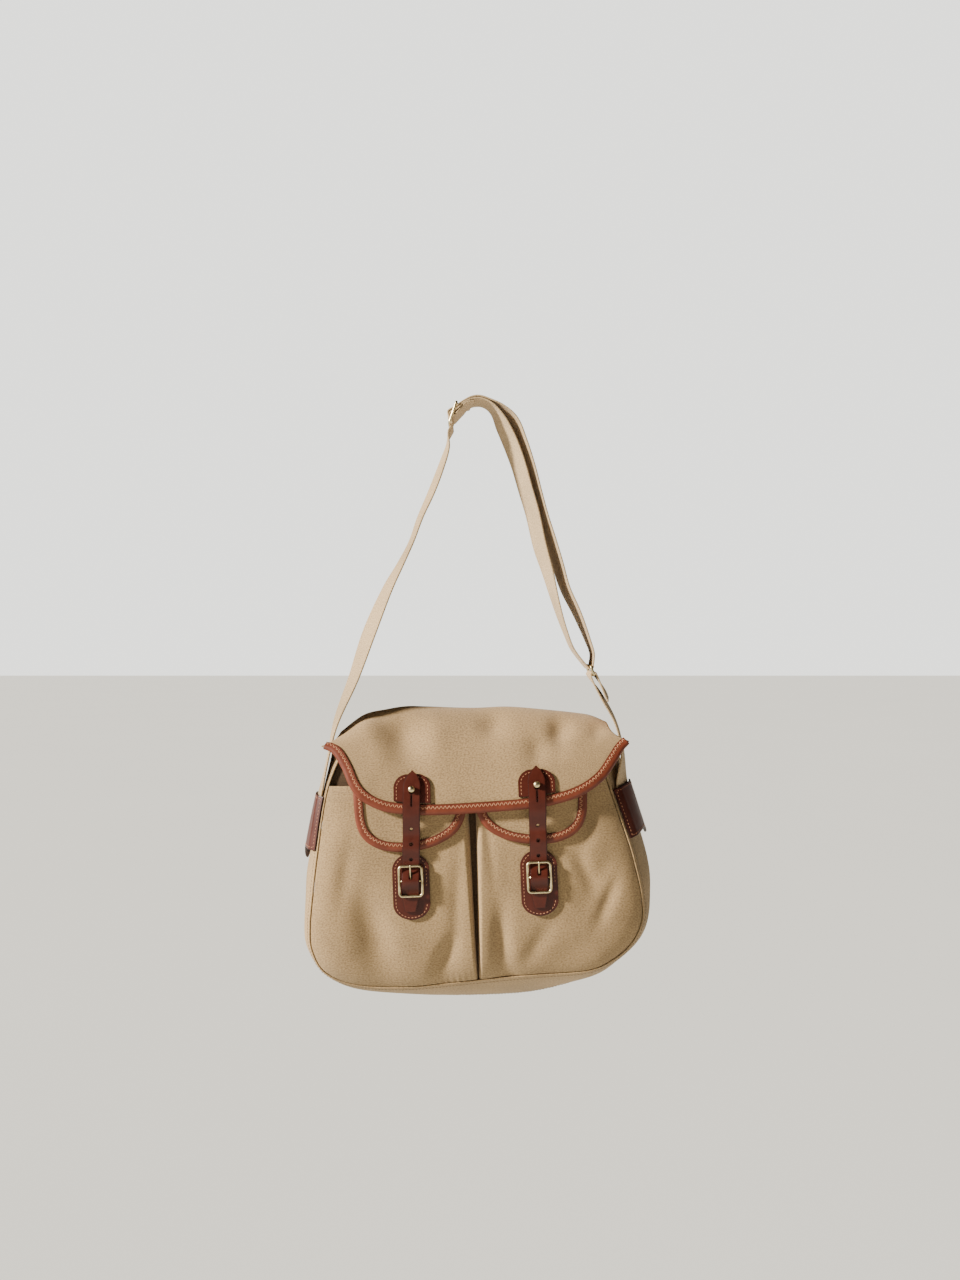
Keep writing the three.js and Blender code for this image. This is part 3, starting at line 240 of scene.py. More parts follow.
# Stitches: pitch, length and thread in mm, and how they sit
BINDING_STITCH = (2.1, 4.6, 0.95)
BINDING_SLANT = 1.05
BINDING_STITCH_SHARE = 0.62
STRAP_STITCH = (3.6, 2.6, 0.6)
STRAP_STITCH_SINK = 0.15
SEAM_STITCH_LIFT = 0.15
PATCH_STITCH_INSET = 3.0
PATCH_STITCH_FOOT = 1.5
HARDWARE_KEEP_OFF = 42

# Camera and stage, in metres
CAMERA_DISTANCE = 1.033
CAMERA_HEIGHT = -0.263
PHOTO_FOCAL_PX = 931
PHOTO_HEIGHT_PX = 1280
SENSOR_MM = 36
FLOOR_HEIGHT = -1.45
FLOOR_HALF = 30
SUN_PLACE = (-2.1, -0.72, 0.6)
SUN_STRENGTH = 11.8
SUN_SPREAD = math.radians(7)
FILL_PLACE = (1.6, -2.6, 0.2)
FILL_SIZE = 2.5
FILL_POWER = 1.5
AMBIENT_GLOW = 0.05
BACKDROP_GLOW = 2.5


def table(columns, rows):
    """Rows of shares under named columns."""
    return dict(zip(columns.split(), np.array(rows, float).T))


# Seam rows from the left mouth corner round the foot to the right one.
# front_x, back_x are shares of BAG_HALF_WIDTH, front_z, back_z of BAG_HALF_HEIGHT, bulge of GUSSET_BULGE.
SEAM = table("front_x front_z back_x back_z bulge", [
    (-0.732, 0.721, -0.842, 0.697, 0.25),
    (-0.832, 0.452, -0.874, 0.436, 0.6),
    (-0.893, 0.061, -0.953, 0.03, 0.9),
    (-0.926, -0.2, -0.984, -0.218, 1),
    (-0.947, -0.4, -0.995, -0.448, 1),
    (-0.942, -0.558, -0.968, -0.642, 0.9),
    (-0.874, -0.709, -0.868, -0.818, 0.7),
    (-0.708, -0.799, -0.695, -0.933, 0.6),
    (-0.424, -0.827, -0.368, -1.006, 0.6),
    (-0.018, -0.796, 0.026, -1.03, 0.6),
    (0.289, -0.775, 0.337, -1.012, 0.6),
    (0.577, -0.763, 0.621, -0.921, 0.6),
    (0.721, -0.697, 0.8, -0.782, 0.7),
    (0.833, -0.586, 0.911, -0.6, 0.9),
    (0.893, -0.441, 0.958, -0.424, 1),
    (0.895, -0.279, 0.974, -0.255, 1),
    (0.866, -0.085, 0.963, -0.061, 1),
    (0.836, 0.061, 0.937, 0.097, 0.9),
    (0.742, 0.424, 0.874, 0.436, 0.6),
    (0.689, 0.691, 0.832, 0.673, 0.25),
])
LAST_ROW = len(SEAM["front_x"]) - 1

# Flap edge from corner to corner: shares of FLAP_HALF_WIDTH, FLAP_REACH and FLAP_HEIGHT
FLAP_EDGE = table("x reach height", [
    (-0.988, 0.62, 0.769),
    (-0.906, 0.69, 0.731),
    (-0.842, 0.79, 0.633),
    (-0.782, 0.9, 0.5),
    (-0.709, 0.94, 0.418),
    (-0.597, 0.97, 0.358),
    (-0.467, 0.99, 0.331),
    (-0.273, 1, 0.318),
    (-0.018, 1, 0.321),
    (0.291, 1, 0.333),
    (0.497, 0.99, 0.358),
    (0.667, 0.96, 0.408),
    (0.803, 0.9, 0.495),
    (0.897, 0.78, 0.609),
    (0.945, 0.7, 0.674),
    (1, 0.635, 0.725),
])

# Crest of the flap: x share of FLAP_HINGE_HALF, height share of FLAP_HEIGHT
FLAP_CREST = table("x height", [
    (-1, 0.842), (-0.83, 0.949), (-0.66, 0.981), (-0.51, 0.997), (-0.36, 0.99), (-0.01, 0.968),
    (0.26, 0.967), (0.54, 0.937), (0.78, 0.905), (0.89, 0.883), (1, 0.835),
])

# Pocket flap edge below its fold, from its outer side: shares of POCKET_FLAP_HALF and POCKET_FLAP_DROP
POCKET_FLAP_EDGE = table("x drop", [
    (1, 0.04), (1, 0.14), (0.965, 0.56), (0.835, 0.8), (0.574, 0.947), (0.226, 1),
    (-0.157, 0.98), (-0.504, 0.9), (-0.8, 0.742), (-0.965, 0.497), (-1, 0.14), (-1, 0.04),
])

# Each side: outward sign, flap centre, stud and buckle across the bag, buckle height, flap drop, and seam
# rows: the corner's, and between which the pocket's top and foot lie
SIDES = [
    dict(name="left", out=-1, flap_x=-69.5, flap_drop=1.02, stud_x=-66.5, buckle_x=-71, buckle_z=-18.6,
         corner=6.2, top_rows=(0.0, 3.0), foot_rows=(7.0, 10.0)),
    dict(name="right", out=1, flap_x=57.5, flap_drop=0.98, stud_x=63.5, buckle_x=62.3, buckle_z=-19.6,
         corner=12.4, top_rows=(19.0, 16.0), foot_rows=(11.0, 8.0)),
]

# Dents of the pocket fronts, in shares of BAG_HALF_WIDTH and BAG_HALF_HEIGHT, depth in mm.
# The first five are in the solids too, the others are finer.
DENTS = table("x z radius_x radius_z turn depth", [
    (-0.6, -0.42, 0.1, 0.3, 0.1, 3.2),
    (-0.2, -0.66, 0.07, 0.16, -0.3, 2.6),
    (0.12, -0.6, 0.05, 0.3, 0.15, 2.4),
    (0.66, -0.16, 0.07, 0.2, -0.5, 2.6),
    (0.5, -0.62, 0.16, 0.1, 0.3, 2),
    (-0.6, -0.42, 0.1, 0.26, 0.35, 5.2),
    (-0.74, -0.08, 0.05, 0.24, -0.2, 2.2),
    (-0.2, -0.6, 0.045, 0.13, -0.5, 3),
    (-0.13, -0.28, 0.04, 0.3, -0.08, 1.8),
    (0.11, -0.5, 0.05, 0.26, -0.12, 3.2),
    (0.06, 0.1, 0.03, 0.3, 0.1, 1.3),
    (0.3, -0.56, 0.05, 0.16, -0.6, 2.4),
    (0.7, -0.3, 0.04, 0.15, -0.45, 3.6),
    (0.58, -0.1, 0.045, 0.13, 0.4, 3),
    (0.62, 0.2, 0.04, 0.18, -0.3, 1.6),
])

# Folds of the main flap: x in mm, share of the way down, radii, turn, depth in mm
FLAP_FOLDS = table("x down radius_x radius_down turn depth", [
    (-76, 0.6, 21, 0.18, 0.25, 9),
    (-114, 0.6, 16, 0.18, 0.2, -2.5),
    (-40, 0.6, 12, 0.16, 0.1, -1.2),
    (20, 0.5, 15, 0.12, 0.35, 4),
    (92, 0.58, 12, 0.15, -0.8, 6.5),
    (66, 0.7, 11, 0.1, -0.8, 3),
    (132, 0.68, 9, 0.14, -0.3, 2.2),
])

# Side tab across the gusset: share of the way, lift between its edge and the strap, drop of its foot
TAB = table("share lift drop", [
    (0, 0, 0), (0.05, 0.45, 0), (0.11, 1, 0), (0.2, 1, 0), (0.32, 1, 0), (0.44, 1, 0),
    (0.56, 1, 0.02), (0.68, 1, 0.12), (0.78, 0.95, 0.24), (0.88, 0.75, 0.3), (1, 0.6, 0.02),
])

# Shoulder strap stations: shares of STRAP_SPREAD, TAB_DEPTH and STRAP_FALL, and sideways lean
STRAP_COLUMNS = "x y z lean"
LEFT_FALL = table(STRAP_COLUMNS, [
    (-0.96, 0.65, -0.837, 0.24),
    (-0.838, 0.7, -0.718, 0.38),
    (-0.736, 0.6, -0.601, 0.46),
    (-0.61, 0.5, -0.483, 0.36),
    (-0.53, 0.42, -0.423, 0.27),
    (-0.456, 0.35, -0.363, 0.22),
    (-0.401, 0.3, -0.303, 0.24),
    (-0.332, 0.25, -0.242, 0.27),
    (-0.273, 0.17, -0.182, 0.26),
    (-0.226, 0.1, -0.125, 0.2),
])
OUTER_FALL = table(STRAP_COLUMNS, [
    (0.07, 0, -0.002, 0.03),
    (0.142, 0.02, -0.02, 0.13),
    (0.216, 0.08, -0.056, 0.32),
    (0.275, 0.15, -0.112, 0.32),
    (0.33, 0.22, -0.179, 0.31),
    (0.372, 0.3, -0.241, 0.29),
    (0.413, 0.38, -0.3, 0.28),
    (0.466, 0.47, -0.362, 0.25),
    (0.517, 0.57, -0.425, 0.22),
    (0.565, 0.66, -0.487, 0.17),
    (0.643, 0.76, -0.552, 0.12),
    (0.71, 0.84, -0.618, 0.04),
    (0.741, 0.88, -0.656, 0),
])
INNER_RISE = table(STRAP_COLUMNS, [
    (0.612, 0.84, -0.644, 0),
    (0.568, 0.78, -0.602, 0.02),
    (0.528, 0.72, -0.556, 0.07),
    (0.493, 0.65, -0.508, 0.13),
    (0.451, 0.57, -0.445, 0.22),
    (0.398, 0.48, -0.376, 0.29),
    (0.35, 0.39, -0.291, 0.31),
    (0.302, 0.3, -0.226, 0.32),
    (0.254, 0.2, -0.16, 0.33),
    (0.199, 0.1, -0.102, 0.33),
    (0.142, 0.06, -0.055, 0.27),
    (0.09, 0.02, -0.02, 0.1),
    (0.046, 0, -0.0045, 0.02),
])

# The web's ways by the slider: along it in half lengths and mm, and off it in rests, pitches and mm.
# It goes up over the middle bar, comes back under the first layer, and its end turns back behind all.
SLIDER_COLUMNS = "halves along rests pitches off"
WEB_UP = table(SLIDER_COLUMNS, [
    (1, 9, -0.6, 0, 0), (1, 0, -1, 0, -0.4), (0.75, 0, -0.6, 0, 0), (0.5, 0, 0.35, 0, 0),
    (0, 0, 1, 1, 0.3), (-0.5, 0, 0.45, 0, 0), (-0.75, 0, -0.6, 0, 0), (-1, 0, -1, 0, -0.5),
])
WEB_BACK = table(SLIDER_COLUMNS, [
    (-1, -1, -1, -1, -0.7), (-0.75, 0, -1, -0.6, 0), (-0.45, 0, -0.8, 0, 0),
])
WEB_END = table(SLIDER_COLUMNS, [(-0.75, 0, -1, -1, -1.6), (-1, -3, -1, -2, -1.4)])

# The web under a side tab: seam row and rise off the gusset, from its foot up
TAB_WEB = ((1.86, 0), (1.6, 0), (1.35, 0.2), (1.13, 0.8))


# Small helpers on arrays of numbers and points

def vec(x, y, z):
    """Points from their coordinates."""
    return np.stack(np.broadcast_arrays(np.asarray(x, float), y, z), axis=-1)


def unit(vectors):
    return vectors / np.linalg.norm(vectors, axis=-1, keepdims=True)


def mix(a, b, share):
    return a + (b - a) * share


def smoothstep(value, low, high):
    share = np.clip((value - low) / (high - low), 0, 1)
    return share * share * (3 - 2 * share)


def row_value(rows, key, position):
    """Smooth curve through a column, at row positions that need not be whole."""
    column = rows[key]
    last = len(column) - 1
    position = np.asarray(position, float)
    index = np.clip(np.floor(position).astype(int), 0, last - 1)
    t = position - index
    a, b, c, d = (column[np.clip(index + step, 0, last)] for step in (-1, 0, 1, 2))
    bend = (2 * a - 5 * b + 4 * c - d) * t ** 2 + (3 * b - a - 3 * c + d) * t ** 3
    return b + 0.5 * ((c - a) * t + bend)


def solve(reached, low, high):
    """Position between low and high where the test turns true, for each element."""
    for _ in range(30):
        middle = (low + high) / 2
        hit = reached(middle)
        low, high = np.where(hit, low, middle), np.where(hit, middle, high)
    return (low + high) / 2


def value_at_x(rows, key, x):
    """Smooth value of a column at a given x."""
    x = np.asarray(x, float)
    ends = np.zeros_like(x), np.full_like(x, len(rows["x"]) - 1)
    return row_value(rows, key, solve(lambda place: row_value(rows, "x", place) >= x, *ends))


def curve_through(points, per_span):
    """Centripetal curve through points, with a number of steps in each span."""
    points = np.asarray(points, float)
    p = np.vstack([2 * points[0] - points[1], points, 2 * points[-1] - points[-2]])
    knots = np.concatenate([[0], np.cumsum(np.linalg.norm(np.diff(p, axis=0), axis=1) ** 0.5)])
    spans = []
    for i in range(1, len(p) - 2):
        t = np.linspace(knots[i], knots[i + 1], per_span, endpoint=False)[:, None]

        def blend(a, b, first, last):
            return mix(a, b, (t - knots[first]) / (knots[last] - knots[first]))

        ahead, here, after = (blend(p[k], p[k + 1], k, k + 1) for k in (i - 1, i, i + 1))
        spans.append(blend(blend(ahead, here, i - 1, i + 1), blend(here, after, i, i + 2), i, i + 1))
    return np.vstack(spans + [points[-1:]])


def lengths_along(points):
    """Distance of each point from the first, along the line."""
    return np.concatenate([[0], np.cumsum(np.linalg.norm(np.diff(points, axis=0), axis=1))])


def at_places(places, known, line):
    """Points of a line at places among the known places of its points."""
    return np.stack([np.interp(places, known, column) for column in line.T], axis=-1)


def at_shares(line, share):
    """Points of a line at shares of its index, for any shape of share."""
    return at_places(np.asarray(share) * (len(line) - 1), np.arange(len(line)), line)


def to_row(points):
    """Bag millimetres to the frame's metres: the bag hangs rolled a little about Y."""
    x, y, z = np.moveaxis(np.asarray(points, float), -1, 0)
    c, s = math.cos(BAG_ROLL), math.sin(BAG_ROLL)
    return vec(c * x - s * z + BAG_PLACE[0], y + BAG_PLACE[1], s * x + c * z + BAG_PLACE[2]) * MM


def in_metres(points):
    return np.asarray(points, float) * MM


def inward(line, place, step):
    """Direction square to a line over the XZ plane, to its inner side."""
    along = line(place + step) - line(place - step)
    return unit(vec(-along[..., 2], 0, along[..., 0]))


# Surfaces of the bag, in bag millimetres

def front_depth(z):
    """Depth of the front seam plane at a height."""
    above = (z - BELLY_HEIGHT) / (BAG_HALF_HEIGHT * MOUTH_LEAN_SPAN)
    below = z / BELLY_HEIGHT - 1
    return np.where(z > BELLY_HEIGHT, MOUTH_LEAN * above ** 2, FOOT_LEAN * below ** 2) - BELLY_DEPTH


def front_seam(row):
    z = row_value(SEAM, "front_z", row) * BAG_HALF_HEIGHT
    return vec(row_value(SEAM, "front_x", row) * BAG_HALF_WIDTH, front_depth(z), z)


def back_seam(row):
    z = row_value(SEAM, "back_z", row) * BAG_HALF_HEIGHT
    return vec(row_value(SEAM, "back_x", row) * BAG_HALF_WIDTH, BACK_DEPTH, z)


def inset_seam(seam, row, distance):
    """Seam point moved inwards in the plane of its panel."""
    return seam(row) + inward(seam, row, ROW_STEP) * distance


def gusset_point(row, share):
    """Gusset between the two seams, bulging outwards."""
    front = front_seam(row) - (0, SEAM_RIM, 0)
    back = back_seam(row) + (0, SEAM_RIM, 0)
    share = np.asarray(share, float)
    bulge = row_value(SEAM, "bulge", row) * GUSSET_BULGE * 4 * share * (1 - share)
    return mix(front, back, share[..., None]) - inward(front_seam, row, ROW_STEP) * bulge[..., None]


SEAM_TRACE = front_seam(np.linspace(0, LAST_ROW, 240))


def seam_distance(x, z):
    gap_x = np.asarray(x)[..., None] - SEAM_TRACE[:, 0]
    gap_z = np.asarray(z)[..., None] - SEAM_TRACE[:, 2]
    return np.sqrt((gap_x ** 2 + gap_z ** 2).min(axis=-1))


def pocket_depth(x, z):
    """Front of a full pocket."""
    full = POCKET_FULLNESS * (1 - np.exp(-seam_distance(x, z) / POCKET_SHOULDER))
    flare = POCKET_MOUTH_FLARE * np.exp(-(((z - POCKET_TOP) / POCKET_FLARE_SPAN) ** 2))
    return front_depth(z) - full - flare


def dent_depth(x, z):
    total = np.zeros_like(x)
    for cx, cz, rx, rz, turn, depth in zip(*DENTS.values()):
        dx, dz = x - cx * BAG_HALF_WIDTH, z - cz * BAG_HALF_HEIGHT
        across = (dx * math.cos(turn) + dz * math.sin(turn)) / (rx * BAG_HALF_WIDTH)
        along = (dz * math.cos(turn) - dx * math.sin(turn)) / (rz * BAG_HALF_HEIGHT)
        total += depth * np.exp(-across ** 2 - along ** 2)
    return total


def crease(pair, z):
    """A crease size between its top and its foot."""
    return mix(*pair, (POCKET_TOP - z) / (POCKET_TOP + BAG_HALF_HEIGHT * CREASE_FOOT))


def pocket_face(side):
    """Flat outline of one pocket front as a patch between its four edges."""
    out = side["out"]
    foot_x = CREASE_X + out * (CREASE_HALF[1] + CREASE_ROLL[1])
    top_row = solve(lambda row: front_seam(row)[..., 2] < POCKET_TOP, *side["top_rows"])
    foot_row = solve(lambda row: (front_seam(row)[..., 0] - foot_x) * out < 0, *side["foot_rows"])
    outer = lambda b: inset_seam(front_seam, mix(top_row, side["corner"], b), POCKET_INSET)
    foot = lambda a: inset_seam(front_seam, mix(side["corner"], foot_row, a), POCKET_INSET)
    outer_top_x = outer(0.0)[0]
    foot_z = foot(1.0)[2]
    inner_top = CREASE_X + out * (CREASE_HALF[0] + CREASE_ROLL[0])
    top = lambda a: vec(mix(outer_top_x, inner_top, a), 0, POCKET_TOP)

    def inner(b):
        z = mix(POCKET_TOP, foot_z, b)
        return vec(CREASE_X + out * (crease(CREASE_HALF, z) + crease(CREASE_ROLL, z)), 0, z)

    def face(a, b):
        p, q = np.asarray(a, float)[..., None], np.asarray(b, float)[..., None]
        sides = top(a) * (1 - q) + foot(a) * q + outer(b) * (1 - p) + inner(b) * p
        corners = top(0.0) * (1 - p) * (1 - q) + top(1.0) * p * (1 - q)
        return sides - corners - foot(0.0) * (1 - p) * q - foot(1.0) * p * q

    return face


def pocket_surface(side):
    """Pocket front from its outer seam to the rolled edge at the centre crease."""
    face = pocket_face(side)

    def surface(u, v):
        front = np.clip(u / (1 - ROLL_SHARE), 0, 1)
        flat = face(1 - (1 - front) ** ROLL_CROWDING, v)
        x, z = flat[..., 0], flat[..., 2]
        y = pocket_depth(x, z) + dent_depth(x, z)
        angle = np.clip((u - 1 + ROLL_SHARE) / ROLL_SHARE, 0, 1) * math.pi / 2
        wall = front_depth(z) + INNER_PANEL_SET_BACK - CANVAS / 2 - GAP - SEAM_EASE - y
        x = x - side["out"] * crease(CREASE_ROLL, z) * np.sin(angle)
        return vec(x, y + wall * (1 - np.cos(angle)), z)

    return surface


def panel_point(seam, inset, u, v):
    """Panel between the left and the right of a seam, from the mouth down to the foot."""
    down = v * PANEL_FOOT_SHARE
    left = inset_seam(seam, down * FOOT_ROW, inset)
    right = inset_seam(seam, LAST_ROW - down * (LAST_ROW - FOOT_ROW), inset)
    return mix(left, right, u[..., None])


def front_panel_surface(u, v):
    point = panel_point(front_seam, SEWN_INSET - GAP, u, v)
    point[..., 1] = front_depth(point[..., 2]) + INNER_PANEL_SET_BACK
    return point


def flap_back_height(x):
    share = np.abs(x) / FLAP_HINGE_HALF
    crest = value_at_x(FLAP_CREST, "height", x / FLAP_HINGE_HALF) * FLAP_HEIGHT
    return crest - FLAP_BACK_DROP * (1 - share ** HINGE_END_POWER * HINGE_END_RISE)


def back_panel_surface(u, v):
    """Back panel, from the flap's hinge line down to the foot."""
    rise = BACK_PANEL_RISE
    body = panel_point(back_seam, BACK_INSET, u, np.clip((v - rise) / (1 - rise), 0, 1))
    hinge_x = mix(-FLAP_HINGE_HALF, FLAP_HINGE_HALF, u)
    top = vec(hinge_x, BACK_DEPTH, flap_back_height(hinge_x) - HINGE_GAP)
    return mix(top, body, np.clip(v / rise, 0, 1)[..., None])


def flap_edge(share):
    row = np.asarray(share, float) * (len(FLAP_EDGE["x"]) - 1)
    return vec(
        row_value(FLAP_EDGE, "x", row) * FLAP_HALF_WIDTH,
        -row_value(FLAP_EDGE, "reach", row) * FLAP_REACH,
        row_value(FLAP_EDGE, "height", row) * FLAP_HEIGHT,
    )


def flap_point(share, down):
    """Main flap: hinge line on the back panel, crest, then down to the curved edge."""
    share, down = np.broadcast_arrays(np.asarray(share, float), np.asarray(down, float))
    hinge_x = mix(-FLAP_HINGE_HALF, FLAP_HINGE_HALF, share)
    crest = value_at_x(FLAP_CREST, "height", hinge_x / FLAP_HINGE_HALF) * FLAP_HEIGHT
    back_angle = down / CREST_SHARE * math.pi / 2
    back = vec(hinge_x, mix(-FLAP_CREST_DEPTH, BACK_DEPTH, np.cos(back_angle)),
               mix(flap_back_height(hinge_x), crest, np.sin(back_angle)))
    edge = flap_edge(share)
    angle = (down - CREST_SHARE) / (1 - CREST_SHARE) * math.pi / 2
    fall = 1 - np.cos(angle)
    reach = mix(np.sin(angle), fall, FLAP_SAG)
    front = vec(mix(hinge_x, edge[..., 0], fall ** FLAP_SPREAD_POWER),
                mix(-FLAP_CREST_DEPTH, edge[..., 1], reach), mix(crest, edge[..., 2], fall))
    return np.where((down < CREST_SHARE)[..., None], back, front)


def surface_normal(surface, share, down):
    """Outward normal of a surface given by two shares."""
    along = surface(share + SHARE_STEP, down) - surface(share - SHARE_STEP, down)
    across = surface(share, down + SHARE_STEP) - surface(share, down - SHARE_STEP)
    return unit(np.cross(across, along))


def place_from_edge(surface):
    """Place on a surface at a distance inwards from its lower edge, square to it, and lifted off it."""
    def place(share, distance, lift):
        step = EDGE_STEP
        along = (surface(share + step, 1) - surface(share - step, 1)) / (2 * step)
        down = (surface(share, 1 + step) - surface(share, 1 - step)) / (2 * step)
        length = np.linalg.norm(along, axis=-1)
        slide = (down * along).sum(axis=-1) / length
        change = -distance / np.sqrt((down ** 2).sum(axis=-1) - slide ** 2)
        near_share, near_down = share - slide * change / length, 1 + change
        normal = surface_normal(surface, near_share, near_down)
        return surface(near_share, near_down) + normal * np.asarray(lift)[..., None]
    return place


def binding_surface(place, width, shares):
    """Leather folded round the lower edge of a canvas sheet: front leg, round fold, back leg."""
    lift = FLAP_CANVAS / 2 + GAP + BINDING_LEATHER / 2 + BINDING_EASE
    leg = BINDING_LEG

    def surface(u, v):
        share = mix(*shares, u)
        turn = np.clip((v - leg) / (1 - 2 * leg), 0, 1) * math.pi
        front = mix(width, lift, np.clip(v / leg, 0, 1))
        back = mix(lift, width, np.clip((v - 1 + leg) / leg, 0, 1))
        folded = lift - (lift + GAP + lift * BINDING_FOLD) * np.sin(turn)
        distance = np.where(v < leg, front, np.where(v > 1 - leg, back, folded))
        return place(share, distance, lift * np.cos(turn))

    return surface


def pocket_flap_depth(x, z):
    """Pocket flap: sewn to the inner panel above the pocket, folded over to lie on the pocket."""
    sewn = front_depth(z) + INNER_PANEL_SET_BACK - CANVAS / 2 - GAP - FLAP_CANVAS / 2
    lying = pocket_depth(x, z) - POCKET_FLAP_LIFT
    return mix(sewn, lying, smoothstep(POCKET_FLAP_TOP - z, 0, POCKET_FLAP_TOP - POCKET_FLAP_FOLD))


def pocket_flap_edge(side, share):
    share = np.asarray(share, float)
    row = (share if side["out"] < 0 else 1 - share) * (len(POCKET_FLAP_EDGE["x"]) - 1)
    x = side["flap_x"] + side["out"] * row_value(POCKET_FLAP_EDGE, "x", row) * POCKET_FLAP_HALF
    drop = row_value(POCKET_FLAP_EDGE, "drop", row) * POCKET_FLAP_DROP * side["flap_drop"]
    return vec(x, 0, POCKET_FLAP_FOLD - drop)


def pocket_flap_surface(side):
    def surface(share, down):
        base_x = side["flap_x"] + mix(-1, 1, share) * POCKET_FLAP_HALF
        fall = np.clip((down - POCKET_FLAP_HANG) / (1 - POCKET_FLAP_HANG), 0, 1)
        edge = pocket_flap_edge(side, share)
        hung = mix(POCKET_FLAP_TOP - GAP, POCKET_FLAP_FOLD, np.clip(down / POCKET_FLAP_HANG, 0, 1))
        x = mix(base_x, edge[..., 0], fall)
        z = np.where(fall > 0, mix(POCKET_FLAP_FOLD, edge[..., 2], fall), hung)
        return vec(x, pocket_flap_depth(x, z), z)
    return surface


def place_on_pocket_flap(side):
    edge = lambda share: pocket_flap_edge(side, share)

    def place(share, distance, lift):
        point = edge(share) + inward(edge, share, SHARE_STEP) * np.asarray(distance)[..., None]
        x, z = point[..., 0], point[..., 2]
        slope_x = pocket_flap_depth(x + 0.5, z) - pocket_flap_depth(x - 0.5, z)
        slope_z = pocket_flap_depth(x, z + 0.5) - pocket_flap_depth(x, z - 0.5)
        normal = unit(vec(slope_x, -1, slope_z))
        return vec(x, pocket_flap_depth(x, z), z) + normal * np.asarray(lift)[..., None]

    return place


def flap_place_at(x, z):
    """Shares of the flap surface at a given x and height, found in damped steps from low on the flap."""
    share = 0.5 + x / (2 * FLAP_HALF_WIDTH)
    down = np.full_like(share, 0.8)
    step, damping = 0.01, 0.8
    for _ in range(12):
        here = flap_point(share, down)
        along_x = (flap_point(share + step, down)[..., 0] - here[..., 0]) / step
        down_z = (flap_point(share, down + step)[..., 2] - here[..., 2]) / step
        share = share + (x - here[..., 0]) / along_x
        down = down + (z - here[..., 2]) / down_z * damping
    return share, down


def on_flap(x, z, lift):
    x, z = np.broadcast_arrays(np.asarray(x, float), np.asarray(z, float))
    share, down = flap_place_at(x, z)
    return flap_point(share, down) + surface_normal(flap_point, share, down) * lift


def on_pocket(x, z, lift):
    """Place lifted off the pocket front, square to the bag's face."""
    return vec(x, pocket_depth(x, z) - lift, z)


def above_binding(x):
    """Height on the flap just above the inner edge of its binding."""
    inner = lambda share: place_from_edge(flap_point)(share, BINDING_WIDTH + STUD_PATCH_CLEARANCE, 0.0)
    share = 0.5 + x / (2 * FLAP_HALF_WIDTH)
    for _ in range(8):
        share = share + (x - inner(share)[..., 0]) / (2 * FLAP_HALF_WIDTH)
    return inner(share)[..., 2]


def stud_patch_top(x, inset=0.0):
    """Height of the patch's top edge, or of a line inside it."""
    half, radius = STUD_PATCH_WIDTH / 2 - inset, STUD_PATCH_CORNER - inset
    corner = np.maximum(0, np.abs(x) - (half - radius))
    rise = np.sqrt(np.maximum(radius ** 2 - corner ** 2 * STUD_PATCH_FLATTENING, 0))
    return STUD_PATCH_TOP - inset - radius + rise


def stud_patch_surface(side):
    lift = FLAP_CANVAS / 2 + GAP + PATCH_LEATHER / 2

    def surface(u, v):
        x = STUD_PATCH_WIDTH / 2 * np.sin((u - 0.5) * math.pi)
        bottom = above_binding(side["stud_x"] + x)
        return on_flap(side["stud_x"] + x, mix(stud_patch_top(x), bottom, v), lift)

    return surface


def buckle_patch_surface(side):
    half = BUCKLE_PATCH_WIDTH / 2
    centre = side["buckle_z"] - PATCH_RISE
    straight = BUCKLE_PATCH_HEIGHT / 2 - half * PATCH_END_RISE
    within = 0.998

    def surface(u, v):
        x = half * np.sin((u - 0.5) * math.pi) * within
        z = centre + mix(1, -1, v) * (straight + PATCH_END_RISE * np.sqrt(half ** 2 - x ** 2))
        point = on_pocket(np.full_like(x, side["buckle_x"]), z, PATCH_LIFT)
        return vec(side["buckle_x"] + x, point[..., 1], z)

    return surface


def strap_across(side, z):
    """Middle of a closing strap across the bag, at a height."""
    share = (z - side["buckle_z"]) / (STUD_HEIGHT - side["buckle_z"])
    return mix(side["buckle_x"], side["stud_x"], share)


def closing_strap_line(side):
    """Middle line of a closing strap, from its tip over stud and flaps and through the buckle."""
    upper_z = np.array(STRAP_ON_FLAP)
    upper = on_flap(strap_across(side, upper_z), upper_z, STUD_STRAP_LIFT)
    over_z = np.array(STRAP_OVER_EDGE)
    over_edge = vec(strap_across(side, over_z), upper[-1, 1] - OVER_EDGE_SET_BACK, over_z)
    pocket_edge = POCKET_FLAP_FOLD - POCKET_FLAP_DROP * side["flap_drop"]
    rest_z = np.array([STRAP_ON_POCKET, pocket_edge + 8, pocket_edge])
    rest_x = strap_across(side, rest_z)
    rest_lift = POCKET_FLAP_LIFT + BINDING_LIFT + 2 * GAP + STRAP_LEATHER / 2
    over_pocket_flap = on_pocket(rest_x, rest_z, rest_lift)
    reach = BUCKLE_HEIGHT / 2 - BUCKLE_WIRE
    offsets = np.array([reach + 8, reach + 3, *np.linspace(reach, -reach, 11), -reach - 4, -STRAP_TAIL])
    arch = np.where(np.abs(offsets) < reach, (1 + np.cos(math.pi * offsets / reach)) / 2, 0)
    z = side["buckle_z"] + offsets
    base = pocket_depth(np.full_like(z, side["buckle_x"]), z) - PATCH_FRONT
    y = base - mix(GAP + STRAP_LEATHER / 2, STRAP_OVER_BAR, arch)
    through = vec(strap_across(side, z), y, z)
    return np.vstack([upper, over_edge, over_pocket_flap, through])


